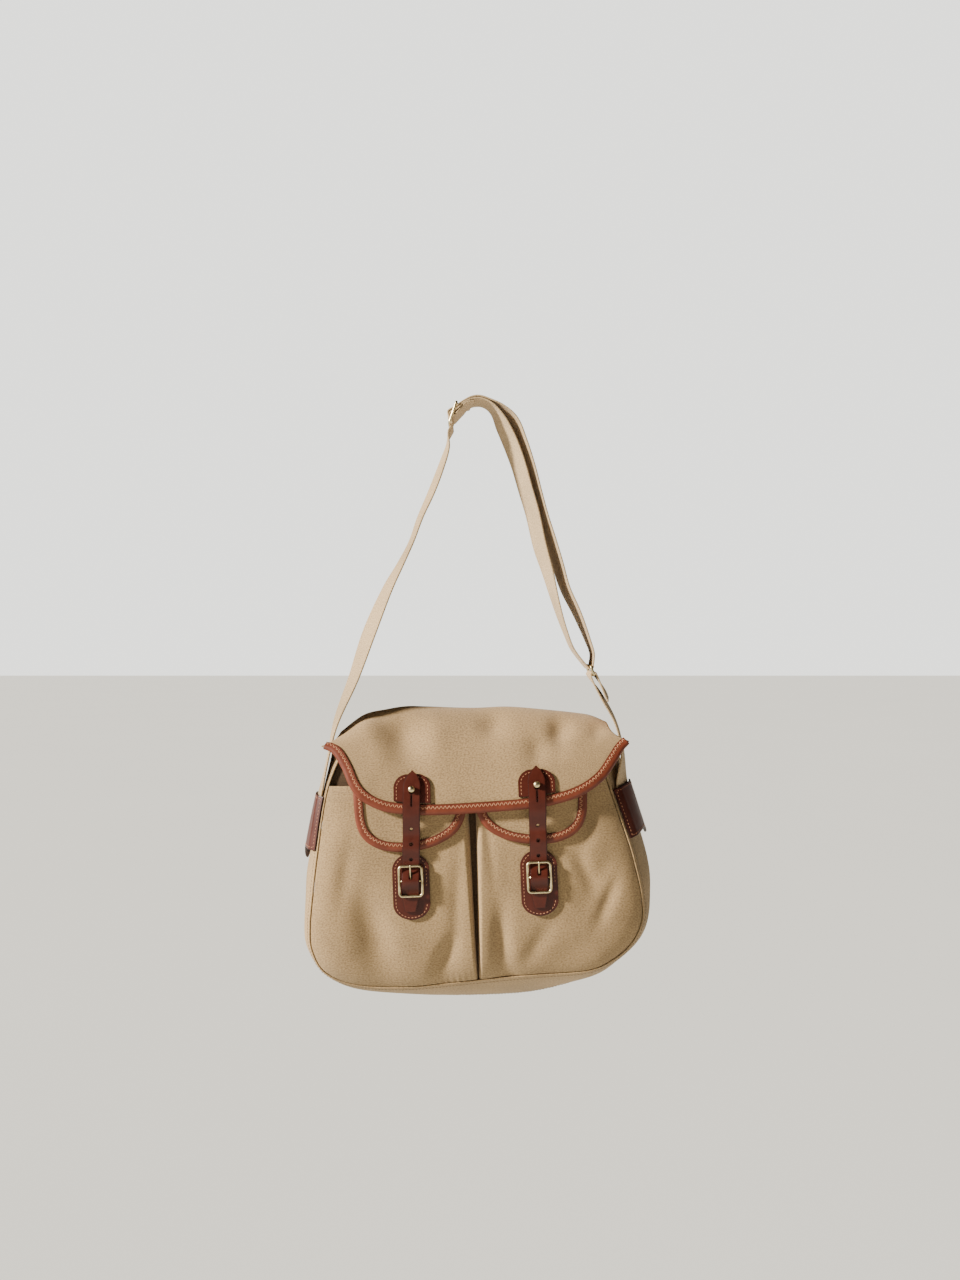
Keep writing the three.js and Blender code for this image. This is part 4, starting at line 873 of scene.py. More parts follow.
def on_gusset(side, row, share, lift):
    """Place lifted off the gusset, rows counted down from the mouth on that side."""
    out = side["out"]
    at = lambda r, s: gusset_point(r if out < 0 else LAST_ROW - r, s)
    down = at(row + 0.02, share) - at(row - 0.02, share)
    across = at(row, share + 0.02) - at(row, share - 0.02)
    normal = unit(np.cross(down, across))
    normal = normal * np.where(normal[..., :1] * out < 0, -1, 1)
    return at(row, share) + normal * np.asarray(lift)[..., None]


def tab_surface(side, extra=0.0):
    """Side tab: leather over the strap's end on the gusset, with a pointed rear wing."""
    def surface(u, v):
        place = u * (len(TAB["share"]) - 1)
        foot = TAB_FOOT_SHARE + row_value(TAB, "drop", place)
        lift = mix(TAB_EDGE, TAB_OVER, row_value(TAB, "lift", place)) + extra
        share = mix(TAB_FRONT, TAB_BACK, row_value(TAB, "share", place))
        return on_gusset(side, mix(TAB_TOP_SHARE, foot, v), share, lift)
    return surface


# Shoulder strap: stations are x, y, z, lean and bow, in row millimetres

def station(point, lean=0.0, bow=0.0):
    return (*point, lean, bow)


def fall_stations(rows):
    return [station((x * STRAP_SPREAD, -y * TAB_DEPTH, z * STRAP_FALL), lean)
            for x, y, z, lean in zip(*rows.values())]


def bag_station(point, lean, bow=0.0):
    return station(to_row(np.array(point)) / MM, lean, bow)


def tab_stations(side):
    """The web under a side tab, from its foot up to where it leaves the gusset."""
    found = []
    for row, rise in TAB_WEB:
        across = unit(on_gusset(side, row, 0.1, 0.0) - on_gusset(side, row, 0.7, 0.0))
        middle = on_gusset(side, row, STRAP_SHARE, STRAP_LIFT + rise)
        found.append(bag_station(middle, across[0], -side["out"] * GUSSET_BOW))
    return found


def in_plane(place, tilt):
    """Stations in the plane of the slider or the ring: along it downwards, out of it to the left."""
    down = np.array([math.sin(tilt), 0, -math.cos(tilt)])
    left = np.array([-math.cos(tilt), 0, -math.sin(tilt)])
    return lambda along, out: station(np.array(place) + down * along + left * out)


on_slider = in_plane(SLIDER_PLACE, -SLIDER_TILT)
on_ring = in_plane(RING_PLACE, RING_TILT)


def wrap(on_plane, along, radius, start, end):
    """Web turned round a bar, angles from the left side over the lower side."""
    return [on_plane(along + radius * math.sin(angle), radius * math.cos(angle))
            for angle in np.radians(np.linspace(start, end, 5))]


SLIDER_REST = SLIDER_WIRE / 2 + GAP + WEBBING / 2 + BAR_REST
RING_REST = RING_WIRE / 2 + 2 * GAP + WEBBING / 2


def slider_stations(rows):
    half = SLIDER_LENGTH / 2
    return [on_slider(halves * half + along, rests * SLIDER_REST + pitches * SLIDER_PITCH + off)
            for halves, along, rests, pitches, off in zip(*rows.values())]


def long_strap_stations():
    """From the left tab through the slider, over the top, round the ring, and back round the bar."""
    under = WEBBING / 2
    return [
        *tab_stations(SIDES[0]),
        bag_station((-163.5, -14, 97), 0.14, GUSSET_BOW / 2),
        *fall_stations(LEFT_FALL),
        *slider_stations(WEB_UP),
        station((BESIDE_TOP, 0, under + LAYER_PITCH - 0.6), 0.01),
        station((0, 0, under + LAYER_PITCH + 0.1)),
        *fall_stations(OUTER_FALL),
        *wrap(on_ring, -RING_LENGTH / 2, RING_REST, 180, 0),
        *fall_stations(INNER_RISE),
        station((0, 0, under)),
        station((BESIDE_TOP, 0, under - BESIDE_DROP)),
        *slider_stations(WEB_BACK),
        *wrap(on_slider, 0, SLIDER_REST + 0.3, 0, 180),
        *slider_stations(WEB_END),
        station((BESIDE_TOP, 0, under - BESIDE_DROP - SLIDER_PITCH), 0.01),
    ]


def short_strap_stations():
    """From the right tab up round the ring, with its sewn end turned down."""
    near, upper = (np.array([x * STRAP_SPREAD, -y * TAB_DEPTH, -z * STRAP_FALL])
                   for x, y, z in ((0.895, 0.86, 0.831), (0.798, 0.91, 0.762)))
    return [
        *tab_stations(SIDES[1]),
        bag_station((161, -18, 100), -0.2),
        station(near, SHORT_LEAN),
        station(upper, SHORT_LEAN),
        *wrap(on_ring, RING_LENGTH / 2, RING_REST, 0, -180),
        station(upper + (4, 0, 4), SHORT_LEAN),
        station(upper + (8, 0, -5), SHORT_LEAN),
    ]


def band_surface(stations, lift=0.0):
    """Web along its stations: u across its width, v along it."""
    rows = np.array(stations, float)
    line = curve_through(rows[:, :3], STRAP_STEPS)
    named = {"lean": rows[:, 3], "bow": rows[:, 4]}
    place = np.linspace(0, len(rows) - 1, len(line))
    lean, bow = row_value(named, "lean", place), row_value(named, "bow", place)
    tangent = unit(np.gradient(line, axis=0))
    forward = unit(np.array([0, -1, 0]) + tangent * tangent[:, 1:2])
    sideways = np.cross(tangent, forward)
    sideways = sideways * np.where(sideways[:, :1] < 0, -1, 1)
    across = forward * np.sqrt(1 - lean ** 2)[:, None] + sideways * lean[:, None]
    outward = np.cross(tangent, across)

    def surface(u, v):
        edge = (2 * u - 1)[..., None]
        spread = at_shares(across, v) * edge * WEBBING_WIDTH / 2
        bowed = at_shares(outward, v) * (at_shares(bow[:, None], v) * edge ** 2 + lift)
        return at_shares(line, v) + spread + bowed

    return surface


# Materials

def linear(hex_colour):
    """An sRGB hex colour as linear RGBA."""
    parts = [int(hex_colour[start:start + 2], 16) / 255 for start in (1, 3, 5)]
    return [c / 12.92 if c <= 0.04045 else ((c + 0.055) / 1.055) ** 2.4 for c in parts] + [1]


def shade(colour, factor):
    return [*(c * factor for c in colour[:3]), 1]


def add(tree, kind, output, inputs, stops=(), **settings):
    """One node with its settings, its sockets set or linked, and the stops of a ramp. Gives one output."""
    node = tree.nodes.new("ShaderNode" + kind)
    for name, value in settings.items():
        setattr(node, name, value)
    for name, value in inputs.items():
        if isinstance(value, bpy.types.NodeSocket):
            tree.links.new(value, node.inputs[name])
        else:
            node.inputs[name].default_value = value
    if stops:
        elements = node.color_ramp.elements
        elements[0].position, elements[0].color = stops[0]
        elements[1].position, elements[1].color = stops[-1]
        for position, colour in stops[1:-1]:
            elements.new(position).color = colour
    return None if output is None else node.outputs[output]


def canvas_finish(tree, place, colour, sheen):
    """Heavy cotton canvas, plain woven: matt, with yarn slubs, soft mottling, painted shade between the
    yarns and a light fuzz.
    """
    pitch = bpy.context.scene.creel_sizes.yarn_pitch
    cloth = add(tree, "UVMap", "UV", {}, uv_map="UVMap")
    # Real yarns lie about 0.6 mm apart. They are drawn 1.1 mm apart so that they show.
    turns = add(tree, "VectorMath", 0, {0: cloth, "Scale": math.pi / pitch}, operation="SCALE")
    parts = add(tree, "SeparateXYZ", "X", {"Vector": turns}).node.outputs
    warp, weft = (add(tree, "Math", 0, {0: parts[axis]}, operation="SINE") for axis in "XY")
    crossing = add(tree, "Math", 0, {0: warp, 1: weft}, operation="MULTIPLY")
    over = add(tree, "Math", 0, {0: crossing, 1: 0.0}, operation="GREATER_THAN")
    warp, weft = (add(tree, "Math", 0, {0: wave}, operation="ABSOLUTE") for wave in (warp, weft))
    yarn = add(tree, "Mix", "Result", {"Factor": over, "A": warp, "B": weft})
    drawn_out = add(tree, "VectorMath", 0, {0: cloth, 1: (480, 620, 1)}, operation="MULTIPLY")
    slubs = add(tree, "TexNoise", "Fac", {"Vector": drawn_out, "Scale": 1.0, "Detail": 4.0})
    mottle = add(tree, "TexNoise", "Fac", {"Vector": place, "Scale": 14.0, "Detail": 5.0, "Roughness": 0.6})
    crumple = add(tree, "TexNoise", "Fac", {"Vector": place, "Scale": 42.0, "Detail": 3.0})
    fade = add(tree, "ValToRGB", "Color", {"Fac": mottle}, [
        (0.3, shade(colour, 0.8)), (0.52, colour), (0.75, shade(colour, 1.12))])
    streak = add(tree, "ValToRGB", "Color", {"Fac": slubs}, [
        (0.36, (0.7, 0.67, 0.64, 1)), (0.5, (0.96, 0.95, 0.94, 1)), (0.64, (1.16, 1.16, 1.15, 1))])
    # Darker between the yarns: painted shade in the grooves of the weave.
    painted_groove_shade = add(tree, "ValToRGB", "Color", {"Fac": yarn}, [
        (0.0, (0.72, 0.7, 0.66, 1)), (0.6, (1, 1, 1, 1))])
    woven = fade
    for share, pattern in ((1.0, streak), (0.75, painted_groove_shade)):
        woven = add(tree, "Mix", 2, {0: share, 6: woven, 7: pattern}, data_type="RGBA",
                    blend_type="MULTIPLY")
    weave = add(tree, "Bump", "Normal", {"Height": yarn, "Strength": 0.5, "Distance": 0.25 * MM})
    relief = add(tree, "Bump", "Normal", {"Height": crumple, "Strength": 0.25, "Distance": 1.2 * MM,
                                          "Normal": weave})
    return {"Base Color": woven, "Normal": relief, "Roughness": 0.92, "Specular IOR Level": 0.25,
            "Sheen Weight": sheen, "Sheen Roughness": 0.6}


def leather_finish(tree, place, colour, roughness):
    """Waxed vegetable tanned leather: close grain, darker burnished edges, a soft coat of wax."""
    grain = bpy.context.scene.creel_sizes.leather_grain
    pores = add(tree, "TexVoronoi", "Distance", {"Vector": place, "Scale": 1 / grain},
                feature="DISTANCE_TO_EDGE")
    pull = add(tree, "TexNoise", "Fac", {"Vector": place, "Scale": 60.0, "Detail": 5.0, "Roughness": 0.6})
    rim = add(tree, "Attribute", "Fac", {}, attribute_name="rim")
    edge = add(tree, "MapRange", "Result", {"Value": rim, "From Max": BURNISHED_EDGE * MM})
    tone = add(tree, "ValToRGB", "Color", {"Fac": pull}, [
        (0.25, shade(colour, 0.72)), (0.5, colour), (0.78, shade(colour, 1.28))])
    edged = add(tree, "Mix", 2, {0: edge, 6: shade(colour, 0.42), 7: tone}, data_type="RGBA")
    gloss = add(tree, "MapRange", "Result", {"Value": pull, "From Min": 0.2, "From Max": 0.8,
                                             "To Min": roughness - 0.08, "To Max": roughness + 0.12})
    close = add(tree, "Bump", "Normal", {"Height": pores, "Strength": 0.22, "Distance": 0.12 * MM})
    relief = add(tree, "Bump", "Normal", {"Height": pull, "Strength": 0.3, "Distance": 0.5 * MM,
                                          "Normal": close})
    return {"Base Color": edged, "Normal": relief, "Roughness": gloss, "IOR": 1.48, "Coat Weight": 0.05,
            "Coat Roughness": 0.35, "Specular IOR Level": 0.28}


def brass_finish(tree, place, colour):
    """Cast and tumbled brass, pale, with fine rubbing marks and a little tarnish."""
    tarnish = add(tree, "TexNoise", "Fac", {"Vector": place, "Scale": 180.0, "Detail": 5.0})
    marks = add(tree, "TexNoise", "Fac", {"Vector": place, "Scale": 1500.0, "Detail": 2.0})
    tone = add(tree, "ValToRGB", "Color", {"Fac": tarnish}, [
        (0.32, shade(colour, 0.55)), (0.55, colour), (0.8, shade(colour, 1.12))])
    gloss = add(tree, "MapRange", "Result", {"Value": tarnish, "From Min": 0.3, "From Max": 0.75,
                                             "To Min": 0.42, "To Max": 0.2})
    relief = add(tree, "Bump", "Normal", {"Height": marks, "Strength": 0.1, "Distance": 0.05 * MM})
    return {"Base Color": tone, "Normal": relief, "Roughness": gloss, "Metallic": 1.0}


def thread_finish(tree, place, colour):
    """Waxed twisted sewing thread: fine plies and a slight gloss."""
    ply = add(tree, "TexWave", "Fac", {"Vector": place, "Scale": 900.0, "Distortion": 1.5})
    tone = add(tree, "ValToRGB", "Color", {"Fac": ply}, [(0.2, shade(colour, 0.75)), (0.8, colour)])
    relief = add(tree, "Bump", "Normal", {"Height": ply, "Strength": 0.4, "Distance": 0.1 * MM})
    return {"Base Color": tone, "Normal": relief, "Roughness": 0.6, "Specular IOR Level": 0.4}


def paint_finish(tree, place, colour):
    """Matt painted studio surface with a faint unevenness."""
    cloud = add(tree, "TexNoise", "Fac", {"Vector": place, "Scale": 0.8, "Detail": 3.0})
    tone = add(tree, "ValToRGB", "Color", {"Fac": cloud}, [(0.3, shade(colour, 0.985)), (0.7, colour)])
    return {"Base Color": tone, "Roughness": 0.9}


# Each colour's material name and finish, with the sheen of cloth or the roughness of leather
FINISHES = {
    "canvas": ("khaki cotton canvas", canvas_finish, 0.12),
    # The inner canvas is the khaki canvas painted darker: painted shade for the front panel behind the
    # pockets and under the flap.
    "canvas_inner": ("shaded cotton canvas", canvas_finish, 0.05),
    "webbing": ("folded cotton strap cloth", canvas_finish, 0.12),
    "strap_leather": ("waxed bridle leather", leather_finish, 0.4),
    "binding_leather": ("binding leather", leather_finish, 0.45),
    "brass": ("worn brass", brass_finish),
    "tan_thread": ("tan waxed thread", thread_finish),
    "khaki_thread": ("khaki cotton thread", thread_finish),
    "floor": ("matt pale paint", paint_finish),
}


def material_for(key):
    """The material of a colour, made once."""
    label, finish, *setting = FINISHES[key]
    made = bpy.data.materials.get(label)
    if not made:
        made = bpy.data.materials.new(label)
        made.use_nodes = True
        tree = made.node_tree
        tree.nodes.clear()
        colour = [*getattr(bpy.context.scene.creel_colours, key)[:3], 1]
        place = add(tree, "TexCoord", "Object", {})
        shader = add(tree, "BsdfPrincipled", "BSDF", finish(tree, place, colour, *setting))
        add(tree, "OutputMaterial", None, {"Surface": shader})
    return made


# Pieces

def new_object(name, data):
    made = bpy.data.objects.new(name, data)
    bpy.context.scene.collection.objects.link(made)
    return made


def mesh_object(name, bm):
    mesh = bpy.data.meshes.new(name)
    bm.to_mesh(mesh)
    bm.free()
    return new_object(name, mesh)


def show(name, bm, key):
    """A finished piece: its mesh, material and body."""
    for face in bm.faces:
        face.smooth = True
    piece = mesh_object(name, bm)
    piece.data.materials.append(material_for(key))
    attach(piece, "root")
    return piece


def show_for(node, bm, key):
    """A finished piece in the place of a node."""
    piece = show(node + "_look", bm, key)
    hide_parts(node)
    return piece


def sheet_piece(name, surface, cells, thickness, key, round_off=0.0, place=to_row):
    """A sheet in the place of a node, thick about its middle surface, with its cut edges rounded."""
    piece = show_for(name, laid_grid(surface, cells, place), key)
    solid = piece.modifiers.new("thickness", "SOLIDIFY")
    solid.thickness = thickness * MM
    solid.offset = 0
    if round_off:
        bevel = piece.modifiers.new("rounded edges", "BEVEL")
        bevel.width = round_off * MM
        bevel.segments = 2
        bevel.limit_method = "ANGLE"
        bevel.angle_limit = CUT_EDGE_ANGLE
    return piece


def laid_grid(surface, cells, place):
    """A flat grid laid over a surface, with its UVs in metres of cloth and its distance to the rim."""
    across, along = cells
    bm = bmesh.new()
    layer = bm.loops.layers.uv.new("UVMap")
    rim_layer = bm.verts.layers.float.new("rim")
    bmesh.ops.create_grid(bm, x_segments=across, y_segments=along, size=0.5)
    shares = np.array([vert.co.xy for vert in bm.verts]) + 0.5
    columns = np.rint(shares[:, 0] * across).astype(int)
    rows = np.rint(shares[:, 1] * along).astype(int)
    points = place(surface(shares[:, 0], shares[:, 1]))
    grid = np.zeros((along + 1, across + 1, 3))
    grid[rows, columns] = points
    steps_across = np.linalg.norm(np.diff(grid, axis=1), axis=-1)
    steps_along = np.linalg.norm(np.diff(grid, axis=0), axis=-1)
    u = np.pad(np.cumsum(steps_across, axis=1), ((0, 0), (1, 0)))
    v = np.pad(np.cumsum(steps_along, axis=0), ((1, 0), (0, 0)))
    rim = np.minimum(np.minimum(u, u[:, -1:] - u), np.minimum(v, v[-1:] - v))
    u = u - u[:, across // 2][:, None]
    for vert, point, row, column in zip(bm.verts, points, rows, columns):
        vert.co = point
        vert[rim_layer] = rim[row, column]
        for loop in vert.link_loops:
            loop[layer].uv = (u[row, column], v[row, column])
    return bm


def lifted(at, lift):
    """Points in metres at a lift off a surface, with the directions in which they are lifted."""
    points, above = (to_row(at(off)) for off in (lift, lift + 1))
    return points, unit(above - points)


def wire_into(bm, points, radius, closed, sides):
    """Round wire swept along points in metres, added to a mesh."""
    curve = bpy.data.curves.new("wire", "CURVE")
    curve.dimensions = "3D"
    curve.bevel_depth = radius
    curve.bevel_resolution = sides // 4
    curve.use_fill_caps = not closed
    spline = curve.splines.new("POLY")
    spline.points.add(len(points) - 1)
    for target, point in zip(spline.points, points):
        target.co = (*point, 1)
    spline.use_cyclic_u = closed
    holder = bpy.data.objects.new("wire", curve)
    mesh = bpy.data.meshes.new_from_object(holder)
    bm.from_mesh(mesh)
    bpy.data.objects.remove(holder)
    bpy.data.curves.remove(curve)
    bpy.data.meshes.remove(mesh)
    bmesh.ops.remove_doubles(bm, verts=bm.verts, dist=1e-6)


def frame_points(width, height, wire, corner, per_corner=8):
    """Rounded rectangle in the XZ plane through the middle of the wire."""
    half_x, half_z, radius = (width - wire) / 2, (height - wire) / 2, corner
    found = []
    for turn, (sx, sz) in enumerate([(1, 1), (-1, 1), (-1, -1), (1, -1)]):
        angles = np.linspace(0, math.pi / 2, per_corner) + turn * math.pi / 2
        found.append(vec(sx * (half_x - radius) + radius * np.cos(angles), 0,
                         sz * (half_z - radius) + radius * np.sin(angles)))
    return np.vstack(found)


def stitch_run(bm, line, normals, pitch, length, thread, slant=0.0):
    """Stitches along a line in metres: short fat capsules, sunk a little into the piece."""
    distances = lengths_along(line)
    count = int(distances[-1] / (pitch * MM))
    places = (np.arange(count) + 0.5) * distances[-1] / count
    centre = at_places(places, distances, line)
    tangent = unit(at_places(places, distances, np.gradient(line, axis=0)))
    normal = unit(at_places(places, distances, normals))
    for index in range(count):
        up = Vector(normal[index])
        along = Vector(tangent[index])
        along = (along - up * along.dot(up)).normalized()
        side = up.cross(along)
        turn = slant if index % 2 else -slant
        along = (along * math.cos(turn) + side * math.sin(turn)).normalized()
        side = up.cross(along)
        half_thread = thread / 2 * MM
        scaled = Matrix((along * length / 2 * MM, side * half_thread, up * half_thread)).transposed()
        matrix = Matrix.Translation(Vector(centre[index])) @ scaled.to_4x4()
        bmesh.ops.create_icosphere(bm, subdivisions=1, radius=1, matrix=matrix)


def line_on(surface, u, v, outward):
    """A line on a surface in metres, with its normals turned outwards."""
    u, v = np.broadcast_arrays(np.asarray(u, float), np.asarray(v, float))
    step = LINE_STEP
    at = lambda a, b: to_row(surface(np.clip(a, 0, 1), np.clip(b, 0, 1)))
    normals = unit(np.cross(at(u + step, v) - at(u - step, v), at(u, v + step) - at(u, v - step)))
    line = at(u, v)
    sign = np.where((normals * outward(line)).sum(axis=-1) < 0, -1, 1)
    return line, normals * sign[:, None]


# What a user would change

def size_property(name, description, millimetres, least, most):
    return FloatProperty(name=name, description=description, default=millimetres * MM, min=least * MM,
                         max=most * MM, precision=5, subtype="DISTANCE", unit="LENGTH")


def colour_property(name, description, hex_colour):
    return FloatVectorProperty(name=name, description=description, default=linear(hex_colour), size=4,
                               min=0.0, max=1.0, subtype="COLOR")


class CreelSizes(bpy.types.PropertyGroup):
    """Sizes of the finish."""

    yarn_pitch: size_property("Yarn pitch", "Distance between the drawn yarns of the canvas", 1.1, 0.4, 3)
    leather_grain: size_property("Leather grain", "Width of one cell of the leather's grain", 0.9, 0.3, 3)
    stitch_pitch: size_property("Stitch pitch", "Distance between two stitches", 3.6, 1.5, 8)
    stitch_length: size_property("Stitch length", "Length of one stitch", 2.7, 1, 7)
    thread: size_property("Thread", "Thickness of the sewing thread", 0.8, 0.3, 2)


class CreelColours(bpy.types.PropertyGroup):
    """Colours of the materials."""

    canvas: colour_property("Canvas", "Khaki cotton canvas", "#A58961")
    # A darker copy of the canvas colour: painted shade for the front panel behind the pockets and under the
    # flap.
    canvas_inner: colour_property("Inner canvas", "Canvas in the shade behind the pockets", "#5A4632")
    webbing: colour_property("Strap cloth", "Shoulder strap cloth", "#B89E78")
    strap_leather: colour_property("Strap leather", "Closing straps, patches and side tabs", "#471B10")
    binding_leather: colour_property("Binding leather", "Bindings of the flaps", "#68311F")
    brass: colour_property("Brass", "Buckles, studs, slider and ring", "#D9C79A")
    tan_thread: colour_property("Tan thread", "Contrast stitches on the leather", "#BC8562")
    khaki_thread: colour_property("Khaki thread", "Stitches on the canvas", "#92795A")
    floor: colour_property("Floor", "Pale floor and surroundings", "#E6E7E2")


class CREEL_OT_body(bpy.types.Operator):
    """Gusset with its two panels"""

    bl_idname = "creel.body"
    bl_label = "Bag Body"

    def execute(self, context):
        sheet_piece("gusset", lambda u, v: gusset_look(v * LAST_ROW, u), (26, 280), CANVAS, "canvas",
                    CLOTH_EDGE_ROUND)
        # The front panel takes the darker canvas: painted shade behind the pockets and under the flap.
        sheet_piece("front_panel", front_panel_surface, (60, 50), CANVAS, "canvas_inner")
        sheet_piece("back_panel", back_panel_look, (90, 80), CANVAS, "canvas")
        return {"FINISHED"}


def gusset_look(row, share):
    """The gusset with small puckers where its seams draw it in, and soft hollows between."""
    base = gusset_point(row, share)
    middle = gusset_point(row, np.full_like(share, 0.5))
    outward = unit(middle * (1, 0, 1))
    across = np.sin(share * math.pi)
    near_seam = (np.exp(-share * PUCKER_FADE) + np.exp(-(1 - share) * PUCKER_FADE)) * across
    turns = row * PUCKER_RATE + PUCKER_DRIFT * np.sin(row * PUCKER_DRIFT_RATE)
    pucker = PUCKER_DEPTH * (np.sin(turns) - 1) * near_seam
    hollow = HOLLOW_DEPTH * (np.sin(row * HOLLOW_RATE + HOLLOW_START) - 1) * across ** 2
    return base + outward * (pucker + hollow)[..., None]


def back_panel_look(u, v):
    """The back panel, drawn in a little at its seams, with two slack folds."""
    point = back_panel_surface(u, v)
    folds = ((0.8, 0.3, -0.25, 0.05), (0.9, 0.75, 0.2, 0.07))
    slack = sum(depth * np.exp(-((u - start - lean * v) / half) ** 2) for depth, start, lean, half in folds)
    point[..., 1] = point[..., 1] - slack * np.sin(np.pi * v) ** 2
    return point


def flap_look(u, v):
    """The main flap with its soft folds pressed in."""
    point = flap_point(u, v)
    depth = np.zeros_like(u)
    for x, down, radius_x, radius_down, turn, deep in zip(*FLAP_FOLDS.values()):
        dx = (point[..., 0] - x) / radius_x
        dv = (v - down) / radius_down
        depth += deep * np.exp(-(dx * math.cos(turn) + dv * math.sin(turn)) ** 2
                               - (dv * math.cos(turn) - dx * math.sin(turn)) ** 2)
    shown = smoothstep(v, *FOLDS_START) * smoothstep(-v, *FOLDS_END)
    return point - surface_normal(flap_point, u, v) * (depth * shown)[..., None]


class CREEL_OT_pockets(bpy.types.Operator):
    """Two full pockets, rolled in at the centre crease"""

    bl_idname = "creel.pockets"
    bl_label = "Pockets"

    def execute(self, context):
        for side in SIDES:
            sheet_piece("pocket_" + side["name"], pocket_surface(side), (130, 130), CANVAS, "canvas",
                        CLOTH_EDGE_ROUND)
        return {"FINISHED"}


class CREEL_OT_flaps(bpy.types.Operator):
    """Main flap and pocket flaps, each with its leather binding"""

    bl_idname = "creel.flaps"
    bl_label = "Flaps"

    def execute(self, context):
        flap = sheet_piece("flap", flap_look, (150, 90), FLAP_CANVAS, "canvas")
        binding = binding_surface(place_from_edge(flap_point), BINDING_WIDTH, (0.02, 0.985))
        bound = sheet_piece("flap_binding", binding, (240, 16), BINDING_LEATHER, "binding_leather",
                            BINDING_EDGE_ROUND)
        for side in SIDES:
            name = side["name"]
            surface = pocket_flap_surface(side)
            small = sheet_piece("pocket_flap_" + name, surface, (50, 50), FLAP_CANVAS, "canvas")
            binding = binding_surface(place_on_pocket_flap(side), POCKET_BINDING_WIDTH, (0.012, 0.988))
            bound = sheet_piece("pocket_flap_binding_" + name, binding, (130, 16), BINDING_LEATHER,
                                "binding_leather", BINDING_EDGE_ROUND)
        return {"FINISHED"}


class CREEL_OT_patches(bpy.types.Operator):
    """Leather patches under the studs and the buckles"""

    bl_idname = "creel.patches"
    bl_label = "Patches"

    def execute(self, context):
        for side in SIDES:
            for kind, surface, cells in (("stud_patch_", stud_patch_surface(side), (36, 24)),
                                         ("buckle_patch_", buckle_patch_surface(side), (36, 50))):
                sheet_piece(kind + side["name"], surface, cells, PATCH_LEATHER, "strap_leather",
                            PATCH_EDGE_ROUND)
        return {"FINISHED"}


def closing_strap_half(z, side):
    """Half width of a closing strap: pointed at its tip, a little narrower at its tail."""
    tip = np.clip((STRAP_TIP_HEIGHT - z) / CLOSING_POINT, 0, 1)
    end = (side["buckle_z"] - BUCKLE_HEIGHT / 2 - z) / (STRAP_TAIL - BUCKLE_HEIGHT / 2)
    point = np.maximum(TIP_FLOOR, tip ** TIP_POWER)
    return CLOSING_STRAP_WIDTH / 2 * point * (1 - STRAP_TAPER * np.maximum(end, 0))


def strap_holes(side):
    """Height, width and length of the three spare holes, the tongue's, the stud's and its slit."""
    tongue = side["buckle_z"] + TONGUE_HOLE
    stud_hole = STUD_NECK + 2 * GAP + STUD_HOLE_EASE
    return [*((tongue + step * HOLE_PITCH, HOLE_DIAMETER, HOLE_DIAMETER) for step in (1, 2, 3)),
            (tongue, HOLE_DIAMETER, HOLE_DIAMETER + TONGUE_ROOM),
            (STUD_HEIGHT, stud_hole, stud_hole + STUD_ROOM),
            (STUD_HEIGHT - SLIT_DROP, SLIT_WIDTH, SLIT_LENGTH)]


def flat_strap(side, line, along):
    """A closing strap laid flat, with its way along the line as y and its thickness as z."""
    bm = bmesh.new()
    bmesh.ops.create_grid(bm, x_segments=10, y_segments=int(along[-1] / STRAP_CELL), size=0.5)
    for vert in bm.verts:
        distance = (vert.co.y + 0.5) * along[-1]
        z = np.interp(distance, along, line[:, 2])
        vert.co = (vert.co.x * 2 * closing_strap_half(z, side), distance, 0)
    base = bmesh.ops.extrude_face_region(bm, geom=bm.faces[:])
    raised = [part for part in base["geom"] if isinstance(part, bmesh.types.BMVert)]
    bmesh.ops.translate(bm, verts=raised, vec=(0, 0, STRAP_LEATHER / 2))
    bmesh.ops.translate(bm, verts=list(set(bm.verts) - set(raised)), vec=(0, 0, -STRAP_LEATHER / 2))
    bmesh.ops.recalc_face_normals(bm, faces=bm.faces)
    return mesh_object("flat strap", bm)


def slot_cutter(bm, centre, width, length):
    """Upright round-ended cutter for a hole or slit in the flat strap."""
    straight = max(0.0, length - width) / 2
    made = bmesh.ops.create_cone(bm, cap_ends=True, segments=20, radius1=width / 2, radius2=width / 2,
                                 depth=4 * STRAP_LEATHER)
    for vert in made["verts"]:
        vert.co.y += math.copysign(straight, vert.co.y)
    bmesh.ops.translate(bm, verts=made["verts"], vec=(0, centre, 0))


def cut_by(piece, cutter_bm):
    """The mesh of a scratch piece after a cut, as a bmesh."""
    cutter = mesh_object("cutter", cutter_bm)
    cut = piece.modifiers.new("holes", "BOOLEAN")
    cut.object = cutter
    cut.solver = "EXACT"
    bpy.context.view_layer.update()
    bm = bmesh.new()
    bm.from_mesh(bpy.data.meshes.new_from_object(
        piece.evaluated_get(bpy.context.evaluated_depsgraph_get())))
    for scratch in (piece, cutter):
        bpy.data.objects.remove(scratch)
    return bm


def bend(bm, line, along, side, place_of):
    """Lays the flat strap along its line, keeping how far each point is from an edge."""
    rim_layer = bm.verts.layers.float.new("rim")
    flat = np.array([vert.co for vert in bm.verts])
    middle = at_places(flat[:, 1], along, line)
    tangent = at_places(flat[:, 1], along, np.gradient(line, along, axis=0))
    tangent[:, 0] = 0
    normal = unit(np.cross(tangent, (1, 0, 0)))
    normal = normal * np.where(normal[:, 1:2] > 0, -1, 1)
    rim = closing_strap_half(middle[:, 2], side) - np.abs(flat[:, 0])
    for z, width, length in strap_holes(side):
        reach = np.maximum(np.abs(flat[:, 1] - place_of(z)) - (length - width) / 2, 0)
        rim = np.minimum(rim, np.hypot(flat[:, 0], reach) - width / 2)
    points = to_row(middle + normal * flat[:, 2:3] + flat[:, :1] * np.array([1, 0, 0]))
    for vert, point, distance in zip(bm.verts, points, rim):
        vert.co = point
        vert[rim_layer] = max(distance, 0) * MM


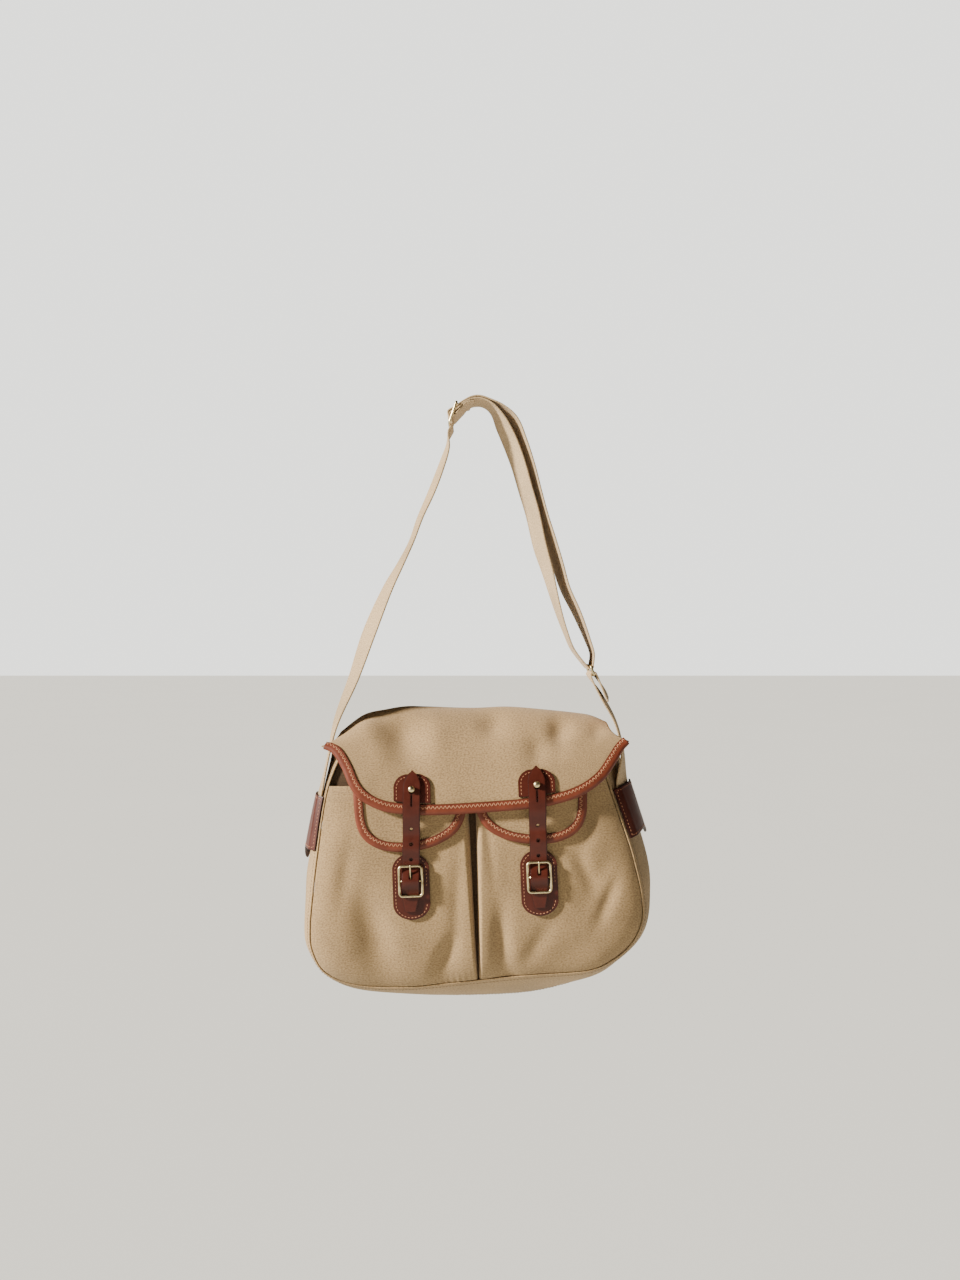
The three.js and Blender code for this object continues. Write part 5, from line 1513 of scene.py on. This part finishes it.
class CREEL_OT_closing_straps(bpy.types.Operator):
    """Closing straps: cut flat with their holes, edges rounded, then bent along their line"""

    bl_idname = "creel.closing_straps"
    bl_label = "Closing Straps"

    def execute(self, context):
        for side in SIDES:
            line = curve_through(closing_strap_line(side), 8)
            along = lengths_along(line)
            place_of = lambda z: float(np.interp(-z, -line[:, 2], along))
            cutter = bmesh.new()
            for z, width, length in strap_holes(side):
                slot_cutter(cutter, place_of(z), width, length)
            bm = cut_by(flat_strap(side, line, along), cutter)
            sharp = [edge for edge in bm.edges
                     if edge.is_manifold and edge.calc_face_angle() > CUT_EDGE_ANGLE]
            bmesh.ops.bevel(bm, geom=sharp, offset=STRAP_EDGE_ROUND, segments=2, profile=0.5,
                            affect="EDGES", material=-1, clamp_overlap=True)
            bend(bm, line, along, side, place_of)
            show_for("closing_strap_" + side["name"], bm, "strap_leather")
        return {"FINISHED"}


class CREEL_OT_side_tabs(bpy.types.Operator):
    """Leather side tabs over the ends of the shoulder strap"""

    bl_idname = "creel.side_tabs"
    bl_label = "Side Tabs"

    def execute(self, context):
        for side in SIDES:
            sheet_piece("side_tab_" + side["name"], tab_surface(side), (70, 60), TAB_LEATHER,
                        "strap_leather", TAB_EDGE_ROUND)
        return {"FINISHED"}


def buckle_places(side):
    """Takes points of the buckle's own plane into the row frame in metres."""
    x, z = np.array(side["buckle_x"]), np.array(side["buckle_z"])
    reach = 10
    rise = pocket_depth(x, z + reach) - pocket_depth(x, z - reach)
    slope = math.atan(float(rise) / (2 * reach))
    centre = np.array([float(x), float(pocket_depth(x, z)) - PATCH_FRONT - BUCKLE_PLANE, float(z)])

    def place(points):
        px, py, pz = np.moveaxis(np.asarray(points, float), -1, 0)
        c, s = math.cos(slope), math.sin(slope)
        turned = vec(px, py * c + pz * s, pz * c - py * s)
        return to_row(turned + centre)

    return place


def tongue_points():
    """The tongue's line, from its hook round the bar up to its rest on the buckle's top."""
    hook = BUCKLE_BAR / 2 + GAP + TONGUE_WIRE / 2
    rest = BUCKLE_WIRE / 2 + GAP + TONGUE_WIRE / 2
    top = (BUCKLE_HEIGHT - BUCKLE_WIRE) / 2
    return curve_through([
        (0, hook * 0.85, -hook * 0.55),
        (0, hook, 0),
        (0, hook * 0.75, hook * 0.75),
        (0, -hook * 0.1, hook * 1.35),
        (0, -rest * 0.5, top * 0.5),
        (0, -rest * 0.95, top * 0.85),
        (0, -rest * 1.05, top + 1.2),
    ], 5)


def wire_frame(name, place, width, height, wire, corner, bar, bar_sides):
    """A brass frame bent from round wire, with a bar across its middle if it has one."""
    bm = bmesh.new()
    outline = frame_points(width, height, wire, corner - wire / 2)
    wire_into(bm, place(outline), wire / 2 * MM, True, FRAME_SIDES)
    if bar:
        half = (width - wire) / 2
        wire_into(bm, place([(-half, 0, 0), (half, 0, 0)]), bar / 2 * MM, False, bar_sides)
    show_for(name, bm, "brass")


class CREEL_OT_buckles(bpy.types.Operator):
    """Brass buckles with their tongues, and the button studs"""

    bl_idname = "creel.buckles"
    bl_label = "Buckles and Studs"

    def execute(self, context):
        for side in SIDES:
            name = side["name"]
            place = buckle_places(side)
            wire_frame("buckle_" + name, place, BUCKLE_WIDTH, BUCKLE_HEIGHT, BUCKLE_WIRE, BUCKLE_CORNER,
                       BUCKLE_BAR, WIRE_SIDES)
            bm = bmesh.new()
            wire_into(bm, place(tongue_points()), TONGUE_WIRE / 2 * MM, False, WIRE_SIDES)
            show_for("buckle_tongue_" + name, bm, "brass")
            self.stud(side)
        return {"FINISHED"}

    def stud(self, side):
        """A button stud turned from its profile: neck, then a domed head over the strap."""
        neck, head, under = STUD_NECK / 2, STUD_HEAD / 2, STRAP_LEATHER + 3 * GAP
        dome = [(head * math.cos(angle), under + head * mix(STUD_RIM, 1, math.sin(angle)))
                for angle in np.linspace(0, math.pi / 2, 9)]
        profile = [(0, 0), (neck, 0), (neck, under), (head * STUD_SEAT, under), *dome[:-1],
                   (0, dome[-1][1])]
        bm = bmesh.new()
        verts = [bm.verts.new((r, 0, h)) for r, h in profile]
        edges = [bm.edges.new(pair) for pair in zip(verts, verts[1:])]
        bmesh.ops.spin(bm, geom=verts + edges, cent=(0, 0, 0), axis=(0, 0, 1), angle=2 * math.pi, steps=28,
                       use_merge=True)
        bmesh.ops.remove_doubles(bm, verts=bm.verts, dist=1e-4)
        bmesh.ops.recalc_face_normals(bm, faces=bm.faces)
        foot, axis = lifted(lambda off: on_flap(side["stud_x"], STUD_HEIGHT, off), STUD_PATCH_FRONT + GAP)
        turn = Vector(axis).to_track_quat("Z", "Y").to_matrix().to_4x4()
        matrix = Matrix.Translation(foot) @ turn @ Matrix.Scale(MM, 4)
        bmesh.ops.transform(bm, verts=bm.verts, matrix=matrix)
        show_for("stud_" + side["name"], bm, "brass")


class CREEL_OT_shoulder_strap(bpy.types.Operator):
    """Shoulder strap: the long adjustable part and the short part under the ring"""

    bl_idname = "creel.shoulder_strap"
    bl_label = "Shoulder Strap"

    def execute(self, context):
        for part, stations, rows in (("long", long_strap_stations(), 520),
                                     ("short", short_strap_stations(), 130)):
            sheet_piece("shoulder_strap_" + part, band_surface(stations), (14, rows), WEBBING, "webbing",
                        CLOTH_EDGE_ROUND, in_metres)
        return {"FINISHED"}


def tilted_place(centre, tilt):
    """Takes points of a frame's own plane into the row frame in metres, square to the strap."""
    def place(points):
        x, _, z = np.moveaxis(np.asarray(points, float), -1, 0)
        return (vec(-z * math.sin(tilt), -x, z * math.cos(tilt)) + np.array(centre)) * MM
    return place


class CREEL_OT_strap_hardware(bpy.types.Operator):
    """Brass slider and ring of the shoulder strap"""

    bl_idname = "creel.strap_hardware"
    bl_label = "Slider and Ring"

    def execute(self, context):
        for name, centre, tilt, length, wire, corner, bar in (
                ("strap_slider", SLIDER_PLACE, -SLIDER_TILT, SLIDER_LENGTH, SLIDER_WIRE, 3, SLIDER_WIRE),
                ("strap_ring", RING_PLACE, RING_TILT, RING_LENGTH, RING_WIRE, 4, 0)):
            wide = WEBBING_WIDTH + 2 * (HARDWARE_CLEARANCE + wire)
            place = tilted_place(centre, tilt)
            wire_frame(name, place, wide, length + wire, wire, corner, bar, FRAME_SIDES)
        return {"FINISHED"}


BAG_CENTRE = to_row((0, -20, -20))


def sew_canvas(bm, stitch):
    """Runs beside both edges of the gusset, and two along each pocket's hem."""
    rows = np.linspace(0.02, 0.98, 500)
    for share in (0.07, 0.93):
        line, away = line_on(lambda u, v: gusset_look(u * LAST_ROW, v), rows, share,
                             lambda line: (line - BAG_CENTRE) * (1, 0, 1))
        stitch_run(bm, line + away * (CANVAS / 2 + SEAM_STITCH_LIFT) * MM, away, *stitch)
    for side in SIDES:
        for v in (0.022, 0.05):
            line, away = line_on(pocket_surface(side), np.linspace(0.02, 0.92, 120), v,
                                 lambda line: (0, -1, 0))
            stitch_run(bm, line + away * CANVAS / 2 * MM, away, *stitch)


def sew_bindings(bm, stitch):
    """A close zigzag along the front leg of each binding."""
    runs = [(place_from_edge(flap_point), 0.025, BINDING_WIDTH)]
    runs += [(place_on_pocket_flap(side), 0.02, POCKET_BINDING_WIDTH) for side in SIDES]
    for place, first, width in runs:
        share = np.linspace(first, 0.98, 400)
        from_edge = np.full_like(share, width * BINDING_STITCH_SHARE)
        run = lifted(lambda off: place(share, from_edge, np.full_like(share, off)), BINDING_LIFT)
        stitch_run(bm, *run, *stitch, slant=BINDING_SLANT)


def sew_patches(bm, stitch):
    """A run just inside the edge of each patch, open at the binding."""
    inset = PATCH_STITCH_INSET
    for side in SIDES:
        half = BUCKLE_PATCH_WIDTH / 2 - inset
        turn = np.linspace(0, 2 * math.pi, 240)
        straight = BUCKLE_PATCH_HEIGHT / 2 - BUCKLE_PATCH_WIDTH / 2 * PATCH_END_RISE
        x = half * np.cos(turn)
        z = side["buckle_z"] - PATCH_RISE + np.sign(np.sin(turn)) * straight
        z = z + (PATCH_END_RISE * half + inset * 0.1) * np.sin(turn)
        depth = pocket_depth(np.full_like(x, side["buckle_x"]), z) - PATCH_FRONT
        line = to_row(vec(side["buckle_x"] + x, depth, z))
        stitch_run(bm, line, np.tile((0.0, -1.0, 0.0), (len(line), 1)), *stitch)
        half = STUD_PATCH_WIDTH / 2 - inset
        x = half * np.sin(np.linspace(-0.5, 0.5, 60) * math.pi)
        top = stud_patch_top(x, inset)
        feet = above_binding(side["stud_x"] + np.array([-half, half])) + PATCH_STITCH_FOOT
        x = np.concatenate([np.full(16, -half), x, np.full(16, half)])
        z = np.concatenate([np.linspace(feet[0], top[0], 16), top, np.linspace(top[-1], feet[1], 16)])
        stitch_run(bm, *lifted(lambda off: on_flap(side["stud_x"] + x, z, off), STUD_PATCH_FRONT), *stitch)


def sew_tabs(bm, stitch):
    """A run along each edge of the side tabs."""
    across, down = np.linspace(0.07, 0.96, 80), np.linspace(0.04, 0.96, 40)
    for side in SIDES:
        surface = tab_surface(side, TAB_LEATHER / 2)
        for u, v in ((0.07, down), (0.965, np.linspace(0.05, 0.93, 40)), (across, 0.05), (across, 0.94)):
            stitch_run(bm, *line_on(surface, u, v, lambda line: (side["out"], 0, 0)), *stitch)


def sew_straps(bm, stitch):
    """Runs along both edges of the strap, on both faces, left out near the slider and the ring."""
    metal = np.array([SLIDER_PLACE, RING_PLACE]) * MM
    for stations, first, last in ((long_strap_stations(), 0.06, 0.96),
                                  (short_strap_stations(), 0.2, 0.97)):
        share = np.linspace(first, last, 900)
        for edge, face in ((0.08, 1), (0.92, 1), (0.08, -1), (0.92, -1)):
            middle, line = (in_metres(band_surface(stations, lift)(np.full_like(share, edge), share))
                            for lift in (0.0, face * WEBBING / 2))
            clear = np.linalg.norm(line[:, None] - metal, axis=2).min(axis=1) > HARDWARE_KEEP_OFF * MM
            breaks = np.flatnonzero(np.diff(clear.astype(int))) + 1
            for run, kept in zip(np.split(np.arange(len(share)), breaks), np.split(clear, breaks)):
                if kept[0] and len(run) > 20:
                    away = unit(line[run] - middle[run])
                    stitch_run(bm, line[run] - away * STRAP_STITCH_SINK * MM, away, *stitch)


class CREEL_OT_stitching(bpy.types.Operator):
    """Running stitches on the canvas, contrast stitches on the leather"""

    bl_idname = "creel.stitching"
    bl_label = "Stitching"

    def execute(self, context):
        sizes = context.scene.creel_sizes
        plain = [size / MM for size in (sizes.stitch_pitch, sizes.stitch_length, sizes.thread)]
        for name, key, sew, stitch in (
                ("canvas", "khaki_thread", sew_canvas, plain),
                ("binding", "tan_thread", sew_bindings, BINDING_STITCH),
                ("patch", "tan_thread", sew_patches, plain),
                ("tab", "tan_thread", sew_tabs, plain),
                ("strap", "khaki_thread", sew_straps, STRAP_STITCH)):
            bm = bmesh.new()
            sew(bm, stitch)
            show(name + "_stitches", bm, key)
        return {"FINISHED"}


class CREEL_OT_stage(bpy.types.Operator):
    """Pale floor and surroundings, soft light from the left, and the camera"""

    bl_idname = "creel.stage"
    bl_label = "Stage"

    def execute(self, context):
        bm = bmesh.new()
        bmesh.ops.create_grid(bm, x_segments=1, y_segments=1, size=FLOOR_HALF)
        bmesh.ops.translate(bm, verts=bm.verts, vec=(0, 0, FLOOR_HEIGHT))
        floor = mesh_object("floor", bm)
        floor.data.materials.append(material_for("floor"))
        world = bpy.data.worlds.new("pale backdrop")
        world.use_nodes = True
        tree = world.node_tree
        seen = add(tree, "LightPath", "Is Camera Ray", {})
        glow = add(tree, "MapRange", "Result", {
            "Value": seen, "To Min": AMBIENT_GLOW, "To Max": BACKDROP_GLOW})
        background = tree.nodes["Background"]
        background.inputs["Color"].default_value = linear("#E8E8E3")
        tree.links.new(glow, background.inputs["Strength"])
        context.scene.world = world
        self.lamp("soft sun", "SUN", SUN_PLACE, angle=SUN_SPREAD, energy=SUN_STRENGTH,
                  color=linear("#FFF8EE")[:3])
        self.lamp("weak fill", "AREA", FILL_PLACE, size=FILL_SIZE, energy=FILL_POWER)
        camera = new_object("camera", bpy.data.cameras.new("camera"))
        camera.data.sensor_width = SENSOR_MM
        camera.data.lens = PHOTO_FOCAL_PX / PHOTO_HEIGHT_PX * SENSOR_MM
        camera.location = (0, -CAMERA_DISTANCE, CAMERA_HEIGHT)
        camera.rotation_euler = (math.pi / 2, 0, 0)
        context.scene.camera = camera
        return {"FINISHED"}

    def lamp(self, name, kind, place, **settings):
        """A lamp with its settings, aimed at the bag."""
        lamp = new_object(name, bpy.data.lights.new(name, kind))
        for setting, value in settings.items():
            setattr(lamp.data, setting, value)
        lamp.location = place
        lamp.rotation_euler = (Vector(BAG_CENTRE) - Vector(place)).to_track_quat("-Z", "Y").to_euler()


OPERATORS = (
    CREEL_OT_stage, CREEL_OT_body, CREEL_OT_pockets, CREEL_OT_flaps, CREEL_OT_patches,
    CREEL_OT_closing_straps, CREEL_OT_side_tabs, CREEL_OT_buckles, CREEL_OT_shoulder_strap,
    CREEL_OT_strap_hardware, CREEL_OT_stitching,
)


class CREEL_PT_bag(bpy.types.Panel):
    """Sizes, colours and building steps of the creel bag"""

    bl_idname = "CREEL_PT_bag"
    bl_label = "Creel Bag"
    bl_space_type = "VIEW_3D"
    bl_region_type = "UI"
    bl_category = "Creel Bag"

    def draw(self, context):
        for group in (context.scene.creel_sizes, context.scene.creel_colours):
            box = self.layout.box()
            for name in group.bl_rna.properties.keys():
                if name not in ("rna_type", "name"):
                    box.prop(group, name)
        for operator in OPERATORS:
            self.layout.operator(operator.bl_idname)


CLASSES = (CreelSizes, CreelColours, *OPERATORS, CREEL_PT_bag)


def register():
    for cls in CLASSES:
        bpy.utils.register_class(cls)
    bpy.types.Scene.creel_sizes = PointerProperty(type=CreelSizes)
    bpy.types.Scene.creel_colours = PointerProperty(type=CreelColours)


def unregister():
    del bpy.types.Scene.creel_colours
    del bpy.types.Scene.creel_sizes
    for cls in reversed(CLASSES):
        bpy.utils.unregister_class(cls)


def main():
    register()
    for operator in OPERATORS:
        group, name = operator.bl_idname.split(".")
        getattr(getattr(bpy.ops, group), name)()


if __name__ == "__main__":
    main()
